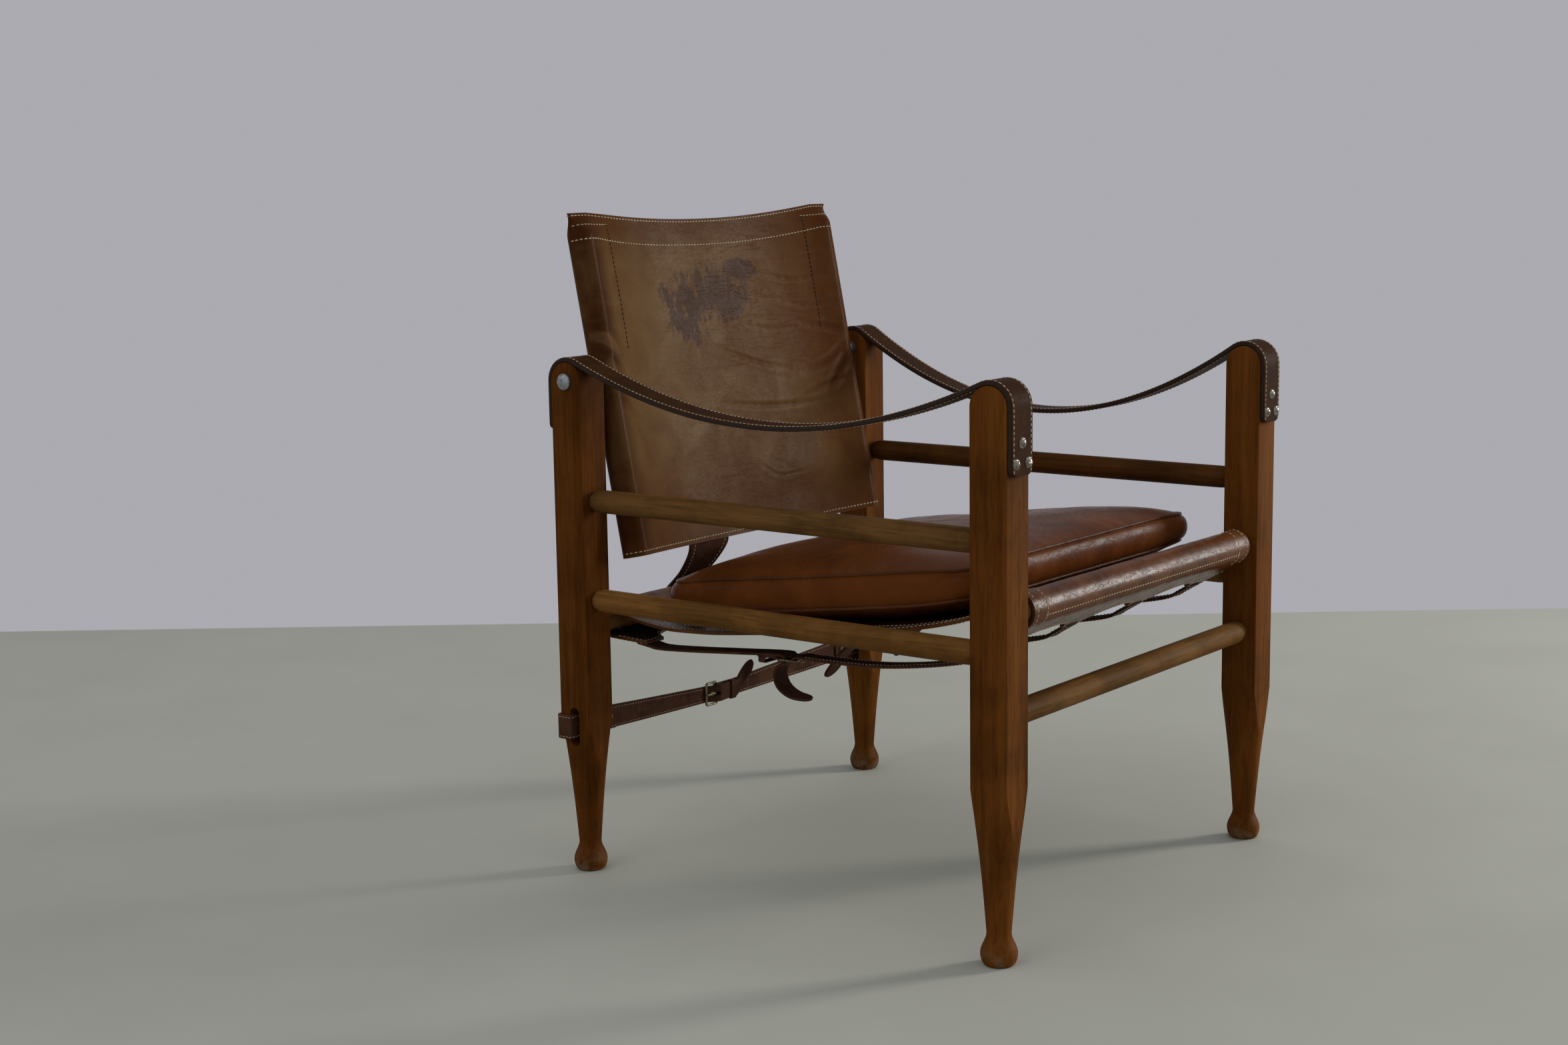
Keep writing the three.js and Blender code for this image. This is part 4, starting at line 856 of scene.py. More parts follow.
def screwTree():
    tree = bpy.data.node_groups.new("screwRows", "GeometryNodeTree")
    face = tree.interface
    face.new_socket("Geometry", in_out="INPUT", socket_type="NodeSocketGeometry")
    face.new_socket("Screw", in_out="INPUT", socket_type="NodeSocketObject")
    face.new_socket("Size", in_out="INPUT", socket_type="NodeSocketFloat")
    face.new_socket("Metal", in_out="INPUT", socket_type="NodeSocketMaterial")
    face.new_socket("Geometry", in_out="OUTPUT", socket_type="NodeSocketGeometry")
    new, link = tree.nodes.new, tree.links.new
    start, end = new("NodeGroupInput"), new("NodeGroupOutput")
    info = new("GeometryNodeObjectInfo")
    facing = new("GeometryNodeInputNamedAttribute")
    facing.data_type = "FLOAT_VECTOR"
    facing.inputs["Name"].default_value = "faceUp"
    slotTurn = new("GeometryNodeInputNamedAttribute")
    slotTurn.data_type = "FLOAT"
    slotTurn.inputs["Name"].default_value = "slotTurn"
    out = new("FunctionNodeAlignRotationToVector")
    out.axis = "Z"
    spin = new("ShaderNodeCombineXYZ")
    toTurn = new("FunctionNodeEulerToRotation")
    twisted = new("FunctionNodeRotateRotation")
    twisted.rotation_space = "LOCAL"
    points = new("GeometryNodeMeshToPoints")
    many = new("GeometryNodeInstanceOnPoints")
    real = new("GeometryNodeRealizeInstances")
    paint = new("GeometryNodeSetMaterial")
    link(start.outputs["Geometry"], points.inputs["Mesh"])
    link(points.outputs[0], many.inputs["Points"])
    link(start.outputs["Screw"], info.inputs["Object"])
    link(info.outputs["Geometry"], many.inputs["Instance"])
    link(facing.outputs["Attribute"], out.inputs["Vector"])
    link(out.outputs[0], twisted.inputs["Rotation"])
    link(slotTurn.outputs["Attribute"], spin.inputs[2])
    link(spin.outputs[0], toTurn.inputs[0])
    link(toTurn.outputs[0], twisted.inputs["Rotate By"])
    link(twisted.outputs[0], many.inputs["Rotation"])
    link(start.outputs["Size"], many.inputs["Scale"])
    link(many.outputs["Instances"], real.inputs["Geometry"])
    link(real.outputs["Geometry"], paint.inputs["Geometry"])
    link(start.outputs["Metal"], paint.inputs["Material"])
    link(paint.outputs["Geometry"], end.inputs["Geometry"])
    return tree


pattern = screwMesh()
places, ways, turns, nodes = [], [], [], []
for endName, end, y in (("front", -1, frontY), ("rear", 1, rearY)):
    face = y + end * (chair["archRadius"] + chair["seat"] + armStrap["thickness"] - 0.1)
    for sideName, side in (("left", -1), ("right", 1)):
        for i, (across, above) in enumerate(screwPlaces):
            places.append((side * legX + across, face, armEndZ(end) + above))
            ways.append((0, end, 0))
            turns.append(0.6 + 1.3 * len(turns))
            nodes.append(f"arm_screw_{endName}_{sideName}_{i + 1}")
mesh = bpy.data.meshes.new("armStrapScrews")
mesh.from_pydata((np.array(places) * mm).tolist(), [], [])
mesh.attributes.new("faceUp", "FLOAT_VECTOR", "POINT").data.foreach_set("vector", np.array(ways, float).ravel())
mesh.attributes.new("slotTurn", "FLOAT", "POINT").data.foreach_set("value", turns)
screws = bpy.data.objects.new("armStrapScrews", mesh)
scene.collection.objects.link(screws)
rowsOfScrews = screws.modifiers.new("screws", "NODES")
rowsOfScrews.node_group = screwTree()
for item in rowsOfScrews.node_group.interface.items_tree:
    if item.in_out == "INPUT" and item.name in ("Screw", "Size", "Metal"):
        rowsOfScrews[item.identifier] = {"Screw": pattern, "Size": 1.0, "Metal": nickel}[item.name]
bake(screws)
bpy.data.objects.remove(pattern)
finish(shade(screws, 30), "frame", "nickel", [nickel], *nodes)

pivot = {"headDiameter": 18.6, "headHeight": 5.6, "rim": 1.6, "spacer": 10.0, "spacerDiameter": 16.0, "bolt": 6.0}
for sideName, side in (("left", -1), ("right", 1)):
    head, high, rim = pivot["headDiameter"] / 2, pivot["headHeight"], pivot["rim"]
    profile = [(0, -70), (3, -70), (3, 0), (head - 0.4, 0), (head, 0.4), (head, rim)]
    profile += [(head * math.cos(t), rim + (high - rim) * math.sin(t)) for t in np.linspace(0, math.pi / 2, 12)[1:]]
    out = "x" if side > 0 else "-x"
    bolt = turned(f"pivotBolt_{sideName}", profile, (side * (legX + 20.3), rearY, pivotZ), out, 48)
    finish(bolt, "frame", "zinc", [zinc], f"pivot_bolt_{sideName}")
    r, inner = pivot["spacerDiameter"] / 2, pivot["bolt"] / 2 + 0.3
    x = innerFace - 0.3 - pivot["spacer"]
    ring = [(inner, 0), (r - 0.6, 0), (r, 0.6), (r, pivot["spacer"] - 0.6), (r - 0.6, pivot["spacer"]), (inner, pivot["spacer"]), (inner, 0)]
    spacer = turned(f"pivotSpacer_{sideName}", ring, (side * x, rearY, pivotZ), out, 40)
    finish(spacer, "frame", "zinc", [zinc], f"pivot_spacer_{sideName}")
    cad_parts[f"pivot_insert_{sideName}"].data.materials.clear()
    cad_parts[f"pivot_insert_{sideName}"].data.materials.append(brass)
    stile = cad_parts[f"back_stile_{sideName}"]
    stile.data.materials.clear()
    stile.data.materials.append(stileWood)
print("screws and bolts set")

# Back leather

back = {
    "recline": 11.3, "above": 184.0, "below": 203.0, "leather": 2.6,
    "stileDiameter": 25.0, "spacerRoom": 10.6, "pocketDepth": 38.0,
    "bow": 7.0, "topSag": 11.0, "topHem": 21.0, "flapReach": 8.0, "frontTurn": 16.0,
    "slotWidth": 14.0, "slotLength": 46.0, "step": 2.5,
    "hemRow": 31.0, "edgeInset": 3.4, "pocketRow": (169.0, 30.0), "bottomRow": 5.0,
}
# folds seen on the leather: points (across, up from the pivots), half width, depth
folds = [
    ([(-18, 21), (63, -5), (116, -16)], 2.4, 1.0), ([(38, 43), (86, 36), (135, 34)], 2.0, 0.7),
    ([(91, 103), (144, 93), (200, 97)], 2.2, 0.8), ([(143, 116), (187, 119), (218, 120)], 2.0, 0.6),
    ([(-36, -44), (49, -56), (143, -60), (208, -52)], 2.6, 1.0), ([(112, -59), (166, -43), (219, -32)], 2.6, 0.9),
    ([(25, -122), (64, -143), (115, -142)], 1.8, 0.6), ([(45, -117), (85, -134)], 1.8, 0.5),
    ([(228, 8), (203, -22), (177, -49)], 3.8, 1.5), ([(226, 12), (186, -12), (139, -24)], 3.2, 1.0),
    ([(224, 20), (190, 30), (150, 36)], 3.0, 0.8), ([(60, -84), (110, -92), (160, -88)], 2.2, 0.6),
    ([(120, 66), (165, 58), (214, 62)], 2.0, 0.7), ([(70, 78), (112, 70), (150, 72)], 2.0, 0.5),
    ([(-230, 46), (-208, 30)], 6.0, -2.2), ([(-228, 30), (-200, 6)], 5.0, 1.4),
]
pocketRadius = back["stileDiameter"] / 2 + 0.3 + back["leather"]
stileX = innerFace - back["spacerRoom"] - pocketRadius
stitchX = stileX - back["pocketDepth"]
lean = math.radians(back["recline"])


def inRoom(x, y, z):
    # the back's own depth and height, leaning about the pivot
    return (x, rearY + y * math.cos(lean) + z * math.sin(lean), pivotZ - y * math.sin(lean) + z * math.cos(lean))


def backBow(x):
    return back["bow"] * (1 - np.minimum(np.abs(x) / stitchX, 1) ** 2)


def frontFace(x):
    # the sheet bows between the stiles and meets them smoothly in front
    radius = pocketRadius - back["leather"] / 2
    turn = math.radians(back["frontTurn"])
    meetX, meetY = stileX - radius * math.sin(turn), -radius * math.cos(turn)
    return back["bow"] + (meetY - back["bow"]) * (np.abs(x) / meetX) ** 3


def backPath():
    # the sheet's middle layer in (x, depth): flap behind, round the stile, across the front, and back
    radius = pocketRadius - back["leather"] / 2
    turn = math.radians(back["frontTurn"])
    xs = np.linspace(0, stileX - radius * math.sin(turn), 60)[:-1]
    front = np.column_stack([xs, frontFace(xs)])
    seamY = float(frontFace(stitchX)) + back["leather"] + 0.1
    away = math.atan2(seamY, -back["pocketDepth"]) % (2 * math.pi)
    leaves = away - math.acos(radius / math.hypot(back["pocketDepth"], seamY))
    round_ = arc(stileX, 0, radius, -math.pi / 2 - turn, leaves, 40)
    end = stitchX - back["flapReach"]
    flap = [(stitchX + 4, seamY + 0.6), (stitchX, seamY), (end, float(frontFace(end)) + back["leather"] + 0.1)]
    right = np.vstack([front, round_, np.array(flap)])
    left = (right[1:] * (-1, 1))[::-1]
    return resample(smoothLine(np.vstack([left, right]), 1.0), back["step"])


def hemPath(path):
    # above the stile tops the pocket is pressed flat, its two layers together
    edge = stileX + pocketRadius - back["leather"] / 2
    place = np.arange(len(path))
    behind = (place > np.argmax(path[:, 0])) | (place < np.argmin(path[:, 0]))
    apart = (back["leather"] + 0.1) * np.clip((edge - np.abs(path[:, 0])) / 5, 0, 1)
    flat = path.copy()
    flat[:, 1] = backBow(path[:, 0]) + np.where(behind, apart, 0)
    return flat


def foldDepth(x, z):
    # how deep each place lies in a fold, and the total push
    push = np.zeros(len(x))
    for points, width, depth in folds:
        line = smoothLine(points, 3.0)
        s = lengths(line)
        offset = (x[:, None] - line[None, :, 0]) ** 2 + (z[:, None] - line[None, :, 1]) ** 2
        nearest = offset.argmin(axis=1)
        distance = np.sqrt(offset[np.arange(len(x)), nearest])
        taper = np.sin(math.pi * np.clip(s[nearest] / s[-1], 0.04, 0.96)) ** 0.6
        push += depth * taper * (np.exp(-(distance / width) ** 2) - 0.45 * np.exp(-((distance - 2.4 * width) / width) ** 2))
    return push


def makeBack():
    path = backPath()
    flat = hemPath(path)
    span = stileX - back["stileDiameter"] / 2
    rows = int((back["above"] + back["below"]) / back["step"])
    x = path[:, 0]
    topZ = back["above"] - np.where(np.abs(x) < span, back["topSag"] * (1 - (x / span) ** 2), 0)
    stileTop = back["above"] - back["topHem"] - back["leather"]
    grid = np.zeros((rows + 1, len(path), 3))
    for i in range(rows + 1):
        z = -back["below"] + i / rows * (topZ + back["below"])
        blend = np.clip((z - stileTop + 3) / 26, 0, 1)
        blend = blend * blend * (3 - 2 * blend)
        grid[i, :, 0] = x
        grid[i, :, 1] = path[:, 1] * (1 - blend) + flat[:, 1] * blend
        grid[i, :, 2] = z
    X, Z = grid[..., 0].ravel(), grid[..., 2].ravel()
    probe = np.column_stack([X, Z, np.zeros(len(X))])
    waves = 1.6 * ripple(probe, 110.0, 1.0) + 0.25 * ripple(probe, 36.0, 2.0)
    warp = 9 * ripple(probe, 70.0, 3.0)
    level = np.column_stack([X / 75.0, (Z + warp + 0.10 * X) / 9.0, np.zeros(len(X))])
    crease = np.clip(1 - np.abs(ripple(level, 1.0, 4.0)) * 2.6, 0, 1) ** 6
    onRight = np.clip((X + 40) / 140, 0, 1) * np.clip((Z + 170) / 60, 0, 1) * np.clip((130 - Z) / 50, 0, 1)
    front = np.ones(grid.shape[:2], bool)
    front[:, : np.argmin(path[:, 0])] = False
    front[:, np.argmax(path[:, 0]):] = False
    depth = foldDepth(X, Z) * front.ravel() + 0.3 * crease * onRight
    onStile = np.clip((np.abs(X) - stitchX - 8) / 12, 0, 1)
    calm = np.clip((topZ.max() - Z - 6) / 40, 0.1, 1)
    push = (waves * calm * (1 - 0.85 * onStile)) + depth * (1 - 0.6 * onStile)
    dimple = np.exp(-((X - stitchX - 30) ** 2 + (Z - 6) ** 2) / 18.0 ** 2) * 2.0
    grid[..., 1] += (push + dimple * front.ravel() * 0.5).reshape(grid.shape[:2])
    world = np.stack(inRoom(grid[..., 0], grid[..., 1], grid[..., 2]), axis=-1)
    return path, grid, world, depth


backLine, backGrid, backWorld, backFolds = makeBack()
rowsUp, columns = backGrid.shape[:2]
alongPath = lengths(backLine)
obj = surface("backLeather", backWorld, closed=False, caps=False,
              along=backGrid[:, columns // 2, 2] + back["below"], around=alongPath)
obj.data.attributes.new("fold", "FLOAT", "POINT").data.foreach_set("value", backFolds)
work = bmesh.new()
work.from_mesh(obj.data)
work.verts.ensure_lookup_table()
# the sewn openings that the pivot bolts pass
half, straight = back["slotWidth"] / 2, back["slotLength"] / 2 - back["slotWidth"] / 2
gridFlat = backGrid.reshape(-1, 3)
holeFaces = []
for face in work.faces:
    centre = gridFlat[[v.index for v in face.verts]].mean(axis=0)
    if abs(centre[0]) > stileX + pocketRadius * 0.45 and math.hypot(centre[1], max(abs(centre[2]) - straight, 0)) < half:
        holeFaces.append(face)
bmesh.ops.delete(work, geom=holeFaces, context="FACES")
work.to_mesh(obj.data)
work.free()


def finishSheet(obj, thickness, inner=1, rim=2):
    solid = obj.modifiers.new("leather", "SOLIDIFY")
    solid.thickness = thickness * mm
    solid.offset = 0
    solid.use_even_offset = True
    solid.material_offset = inner
    solid.material_offset_rim = rim
    bake(obj)
    return shade(obj, 50)


def backMaterial():
    paint = Paint("patinatedBackLeather")
    vector = paint.coords()
    x, y, z = paint.split(vector)
    clouds = paint.noise(vector, 6.5, 5, 0.6)
    blotch = paint.noise(vector, 17, 5, 0.6, 0.8)
    colour = paint.ramp(blotch, [(0.34, leather["backTan"]), (0.62, leather["backOlive"])])
    # red-brown on the right side and towards the bottom, and a deep brown at the top hem; a near-black edge colour is
    # painted shade on the left roll, where the leather turns away from the light, and fades in at the right edge
    patchy = paint.grey(clouds, 0.35, 0.62, 0.25, 1.0)
    right = paint.math("MULTIPLY", paint.grey(x, -0.02, 0.19), patchy)
    colour = paint.mix(right, colour, leather["backRed"])
    lower = paint.math("MULTIPLY", paint.grey(z, 0.47, 0.37), patchy)
    colour = paint.mix(lower, colour, leather["backRed"])
    colour = paint.mix(paint.grey(z, 0.675, 0.715, 0.0, 0.8), colour, leather["backHem"])
    # painted shade on the left roll, and the same near-black colour fading in towards the right edge
    rim = paint.math("MAXIMUM", paint.grey(x, -0.192, -0.212), paint.grey(x, 0.16, 0.235, 0.0, 0.7))
    colour = paint.mix(paint.math("MULTIPLY", rim, paint.grey(blotch, 0.3, 0.6, 1.0, 0.55)), colour, leather["backRollShadeAndEdge"])
    # the dark stain below the top: a ragged blot with streaks at its left
    ragged = paint.math("SUBTRACT", paint.noise(vector, 34, 6, 0.7), 0.5)
    streaks = paint.math("SUBTRACT", paint.noise(paint.coords(scale=(1, 1, 0.3)), 85, 5, 0.7), 0.5)

    def blot(cx, cz, rx, rz, rag, streak):
        dx = paint.math("DIVIDE", paint.math("SUBTRACT", x, cx), rx)
        dz = paint.math("DIVIDE", paint.math("SUBTRACT", z, cz), rz)
        far = paint.math("ADD", paint.math("MULTIPLY", dx, dx), paint.math("MULTIPLY", dz, dz))
        far = paint.math("ADD", far, paint.math("MULTIPLY", ragged, rag))
        return paint.grey(paint.math("ADD", far, paint.math("MULTIPLY", streaks, streak)), 1.0, 0.55, 0.0, 1.0)

    stain = paint.math("MAXIMUM", blot(0.008, 0.632, 0.060, 0.034, 3.4, 3.0), blot(-0.050, 0.622, 0.044, 0.040, 2.8, 7.0))
    stain = paint.math("MAXIMUM", stain, blot(0.050, 0.660, 0.036, 0.015, 2.6, 2.0))
    colour = paint.mix(paint.math("MULTIPLY", stain, 0.8), colour, leather["backStainAndCreaseShade"])
    fold = paint.attribute("fold")
    # painted shade in the folds' hollows and a painted highlight on their ridges
    colour = paint.mix(paint.grey(fold, 0.25, 1.6, 0.0, 0.6), colour, (0.03, 0.010, 0.004))
    colour = paint.mix(paint.grey(fold, -0.1, -0.7, 0.0, 0.35), colour, (0.20, 0.11, 0.05))
    # many short level creases, most of them on the right, darkened with the stain colour as painted shade in the
    # creases
    wrinkles = paint.noise(paint.coords(scale=(0.4, 1, 2.4)), 30, 6, 0.7, 1.0)
    crease = paint.grey(paint.math("ABSOLUTE", paint.math("SUBTRACT", wrinkles, 0.5)), 0.0, 0.010, 1.0, 0.0)
    crease = paint.math("MULTIPLY", crease, paint.grey(x, -0.06, 0.10, 0.15, 1.0))
    crease = paint.math("MULTIPLY", crease, paint.grey(clouds, 0.42, 0.56))
    colour = paint.mix(paint.math("MULTIPLY", crease, 0.45), colour, leather["backStainAndCreaseShade"])
    rough = paint.grey(blotch, 0.3, 0.7, 0.32, 0.22)
    colour, rough, normal = leatherLook(paint, colour, rough, 0.10, 0.12)
    normal = paint.bump(crease, 0.3, -0.0003, normal)
    return paint.done(colour, rough, normal, Specular_IOR_Level=0.012)


backLeather = backMaterial()
for material in (backLeather, backReverse, rawEdge):
    obj.data.materials.append(material)
faceOut = obj.data.polygons[(rowsUp // 2) * (columns - 1) + columns // 2]
if faceOut.normal.y > 0:
    obj.data.flip_normals()
finishSheet(obj, back["leather"])
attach(obj, "back")
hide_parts("back_leather")


def onBack(columnsAt, heights, front=True):
    # points and normals on the back's face for sewn rows
    normals = unit(np.cross(np.gradient(backWorld, axis=1), np.gradient(backWorld, axis=0)))
    out, ups = [], []
    for c, z in zip(columnsAt, heights):
        low = min(max(int(c), 0), columns - 2)
        u = c - low
        row = np.interp(z, backGrid[:, low, 2], np.arange(rowsUp))
        base = min(int(row), rowsUp - 2)
        t = row - base
        point = ((backWorld[base, low] * (1 - t) + backWorld[base + 1, low] * t) * (1 - u)
                 + (backWorld[base, low + 1] * (1 - t) + backWorld[base + 1, low + 1] * t) * u)
        up = normals[base, low]
        if (up[1] > 0) == front:
            up = -up
        out.append(point + up * back["leather"] / 2)
        ups.append(up)
    return np.array(out), np.array(ups)


def columnAt(x):
    # the column of the front face at x
    first, last = np.argmin(backLine[:, 0]), np.argmax(backLine[:, 0])
    return float(np.interp(x, backLine[first:last + 1, 0], np.arange(first, last + 1)))


topAt = backGrid[-1, :, 2]
acrossFront = np.arange(np.argmin(backLine[:, 0]), np.argmax(backLine[:, 0]) + 1.0)
topOn = np.interp(acrossFront, np.arange(columns), topAt)
acrossRear = np.array([columnAt(x) for x in np.arange(-stitchX + 12, stitchX - 11.9, 3.0)])
topRear = np.interp(acrossRear, np.arange(columns), topAt)
bottom = -back["below"] + back["bottomRow"]
creamRows = [
    onBack(acrossFront, topOn - back["edgeInset"]),
    onBack(acrossFront, topOn - back["hemRow"]),
    onBack(acrossFront, np.full(len(acrossFront), bottom)),
    onBack(acrossRear, topRear - back["hemRow"], front=False),
    onBack(acrossRear, topRear - back["edgeInset"], front=False),
    onBack(acrossRear, np.full(len(acrossRear), bottom), front=False),
]
highRow, lowRow = back["pocketRow"]
for side in (-1, 1):
    short = np.array([columnAt(side * x) for x in np.arange(stitchX, stileX + pocketRadius - 1.5, 3.0)])
    creamRows.append(onBack(short, np.full(len(short), highRow)))
sew("backHemStitches", creamRows, "back", "back_leather", creamThread)
pocketRows = []
for side in (-1, 1):
    heights = np.arange(lowRow, highRow, 3.0)
    pocketRows.append(onBack(np.full(len(heights), columnAt(side * stitchX)), heights))
    pocketRows.append(onBack(np.full(len(heights), columnAt(side * stitchX)), heights, front=False))
sew("backPocketStitches", pocketRows, "back", "back_leather", darkThread, width=2.0, height=1.3)
print("back leather sewn")

# Seat sling

sling = {
    "room": 15.0, "wall": 4.6, "thickness": 3.6, "sag": 36.0, "sagPower": 4.4,
    "flap": 53.0, "flapSide": 11.0, "frontDrop": 31.0, "rearDrop": 7.0,
    "valley": 24.0, "tooth": 28.0, "toothInset": 25.0, "teeth": 4,
    "step": 2.2, "hemRows": (6.0, 24.0), "toothStitchInset": 3.4, "frontRowDegrees": 202.0,
}
sleeveRadius = rail["seatDiameter"] / 2 + chair["seat"] + sling["wall"]
slingHalf = innerFace - sling["room"]
toothPitch = (2 * slingHalf - 2 * sling["toothInset"]) / (sling["teeth"] - 1)
toothX = [(i - (sling["teeth"] - 1) / 2) * toothPitch for i in range(sling["teeth"])]
flapDrops = {-1: math.radians(sling["frontDrop"]), 1: math.radians(sling["rearDrop"])}


def slingTop(y):
    share = (y + legY) / (2 * legY)
    front, rear = frontRailZ + sleeveRadius, rearRailZ + sleeveRadius
    sag = sling["sag"] * (1 - np.abs(2 * share - 1) ** sling["sagPower"])
    return front + (rear - front) * share - sag


def flapEdge():
    # the flap's length across the sling: four blunt teeth with round valleys between
    tip, long = sling["tooth"] / 2, sling["flap"]
    low = long - sling["valley"]
    points = [(-slingHalf, sling["flapSide"]), (toothX[0] - tip, long)]
    t = np.linspace(0, 1, 12)
    for i, x in enumerate(toothX):
        points.append((x + tip, long))
        if i < len(toothX) - 1:
            middle = x + toothPitch / 2
            half = [((1 - k) ** 2 * (x + tip) + 2 * k * (1 - k) * (x + 1.5 * tip) + k * k * middle,
                     (1 - k) ** 2 * long + 2 * k * (1 - k) * low + k * k * low) for k in t[1:]]
            points += half + [(2 * middle - a, b) for a, b in half[::-1][1:]]
    points += [(toothX[-1] + tip, long), (slingHalf, sling["flapSide"])]
    return np.array(points)


def slingSection():
    # the middle layer in (y, z) from the front flap's root over both rails to the rear flap's root
    radius = sleeveRadius - sling["thickness"] / 2
    front = arc(-legY, frontRailZ, radius, -math.pi / 2 - flapDrops[-1], -1.5 * math.pi, 34)
    ys = np.linspace(-legY, legY, 110)[1:-1]
    sheet = np.column_stack([ys, slingTop(ys) - sling["thickness"] / 2])
    rear = arc(legY, rearRailZ, radius, math.pi / 2, -math.pi / 2 + flapDrops[1] * 0.3, 34)
    return resample(np.vstack([front, sheet, rear]), sling["step"] * 1.4)


slingLine = slingSection()


def makeSling():
    edge = flapEdge()
    across = np.unique(np.round(np.concatenate([np.linspace(-slingHalf, slingHalf, 150), edge[:, 0]]), 3))
    keep = [across[0]]
    for x in across[1:]:
        if x - keep[-1] > 0.8 or x == across[-1]:
            keep.append(x)
    across = np.array(keep)
    reach = np.interp(across, edge[:, 0], edge[:, 1])
    rootFront, rootRear = slingLine[0], slingLine[-1]
    steps = 16
    rows = []
    for k in range(steps, 0, -1):
        along = reach * k / steps
        droop = 1.5 * (along / sling["flap"]) ** 2
        rows.append(np.column_stack([across, rootFront[0] + along, rootFront[1] - along * math.tan(flapDrops[-1]) - droop]))
    for y, z in slingLine:
        rows.append(np.column_stack([across, np.full(len(across), y), np.full(len(across), z)]))
    for k in range(1, steps + 1):
        along = reach * k / steps
        rows.append(np.column_stack([across, rootRear[0] - along, rootRear[1] - along * math.tan(flapDrops[1])]))
    grid = np.array(rows)
    # hems folded double along the sides, and slack ripples that run across the tubes
    ahead = unit(np.gradient(grid, axis=0))
    normal = unit(np.cross(np.gradient(grid, axis=1), ahead))
    if normal[steps + len(slingLine) // 2, len(across) // 2, 2] < 0:
        normal = -normal
    flat = grid.reshape(-1, 3)
    hem = np.clip((np.abs(grid[..., 0]) - slingHalf + 27) / 3, 0, 1)
    soft = ripple(flat, 60.0, 11.0).reshape(grid.shape[:2])
    fine = ripple(flat * (1, 0.5, 0.5), 16.0, 12.0).reshape(grid.shape[:2])
    inSheet = np.clip((legY - 26 - np.abs(grid[..., 1])) / 10, 0, 1)
    grid = grid + normal * (0.5 * hem + 0.35 * fine + soft * (0.4 - 1.1 * inSheet) - 0.5 * inSheet)[..., None]
    return across, grid, normal


slingAcross, slingGrid, slingUp = makeSling()
slingSkin = slingGrid + (0, middleY, 0)
obj = surface("seatSling", slingSkin, closed=False, caps=False, along=lengths(slingGrid[:, len(slingAcross) // 2]), around=slingAcross + slingHalf)
work = bmesh.new()
work.from_mesh(obj.data)
work.faces.ensure_lookup_table()
probeFace = max(work.faces, key=lambda f: f.calc_center_median().z if abs(f.calc_center_median().y - middleY * mm) < 0.1 else -1)
if probeFace.normal.z < 0:
    bmesh.ops.reverse_faces(work, faces=work.faces)
work.to_mesh(obj.data)
work.free()


def slingMaterial():
    paint = Paint("glossySlingLeather")
    vector = paint.coords()
    clouds = paint.noise(paint.coords(scale=(1, 1, 1)), 18, 5, 0.6)
    streak = paint.noise(paint.coords(scale=(2.2, 1, 1)), 55, 5, 0.65)
    colour = paint.ramp(clouds, [(0.3, (0.062, 0.020, 0.006)), (0.55, leather["slingTan"]), (0.75, (0.155, 0.068, 0.026))])
    worn = paint.grey(streak, 0.5, 0.7, 0.0, 0.35)
    colour = paint.mix(worn, colour, (0.17, 0.085, 0.040))
    rough = paint.grey(streak, 0.3, 0.7, 0.20, 0.36)
    colour, rough, normal = leatherLook(paint, colour, rough, 0.12, 0.2)
    return paint.done(colour, rough, normal, Specular_IOR_Level=0.12)


slingLeather = slingMaterial()
obj.data.materials.append(slingLeather)
obj.data.materials.append(underLeather)
finishSheet(obj, sling["thickness"], rim=0)
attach(obj, "frame")
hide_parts("seat_sling")


def slingRow(rowIndex, columnAt, side):
    # a sewn row over the sling's grid, on its outer (1) or inner (-1) face
    point = []
    up = []
    for r, x in zip(rowIndex, columnAt):
        r = min(max(r, 0), len(slingGrid) - 1.001)
        low = int(r)
        t = r - low
        line = slingSkin[low] * (1 - t) + slingSkin[low + 1] * t
        n = slingUp[low]
        p = np.array([np.interp(x, slingAcross, line[:, k]) for k in range(3)])
        q = unit(np.array([np.interp(x, slingAcross, n[:, k]) for k in range(3)])) * side
        point.append(p + q * sling["thickness"] / 2)
        up.append(q)
    return np.array(point), np.array(up)


steps = 16
middleRows = np.arange(steps, steps + len(slingLine), 1.0)
rows = []
for inset in sling["hemRows"]:
    for sign in (-1, 1):
        for face in (1, -1):
            rows.append(slingRow(middleRows, np.full(len(middleRows), sign * (slingHalf - inset)), face))
angles = np.degrees(np.arctan2(slingLine[:, 1] - frontRailZ, slingLine[:, 0] + legY)) % 360
frontArc = [i for i in range(len(slingLine)) if slingLine[i, 0] < -legY + 2]
rowAt = steps + frontArc[int(np.argmin([abs(angles[i] - sling["frontRowDegrees"]) for i in frontArc]))]
long = np.arange(-slingHalf + sling["hemRows"][1], slingHalf - sling["hemRows"][1] + 0.1, 3.0)
rows.append(slingRow(np.full(len(long), float(rowAt)), long, 1))
rearArc = [i for i in range(len(slingLine)) if slingLine[i, 0] > legY - 2]
rearAngles = [abs(math.degrees(math.atan2(slingLine[i, 1] - rearRailZ, slingLine[i, 0] - legY)) + 22) for i in rearArc]
rows.append(slingRow(np.full(len(long), float(steps + rearArc[int(np.argmin(rearAngles))])), long, 1))
edge = flapEdge()
fine = np.arange(-slingHalf + 3, slingHalf - 2.9, 1.5)
reach = np.interp(fine, edge[:, 0], edge[:, 1])
for front in (True, False):
    share = np.clip((reach - sling["toothStitchInset"]) / reach, 0, 1)
    index = steps - steps * share if front else steps + len(slingLine) - 1 + steps * share
    for face in (1, -1):
        rows.append(slingRow(index, fine, face))
sew("slingStitches", rows, "frame", "sling_leather", creamThread)
print("sling sewn")

# Cushion

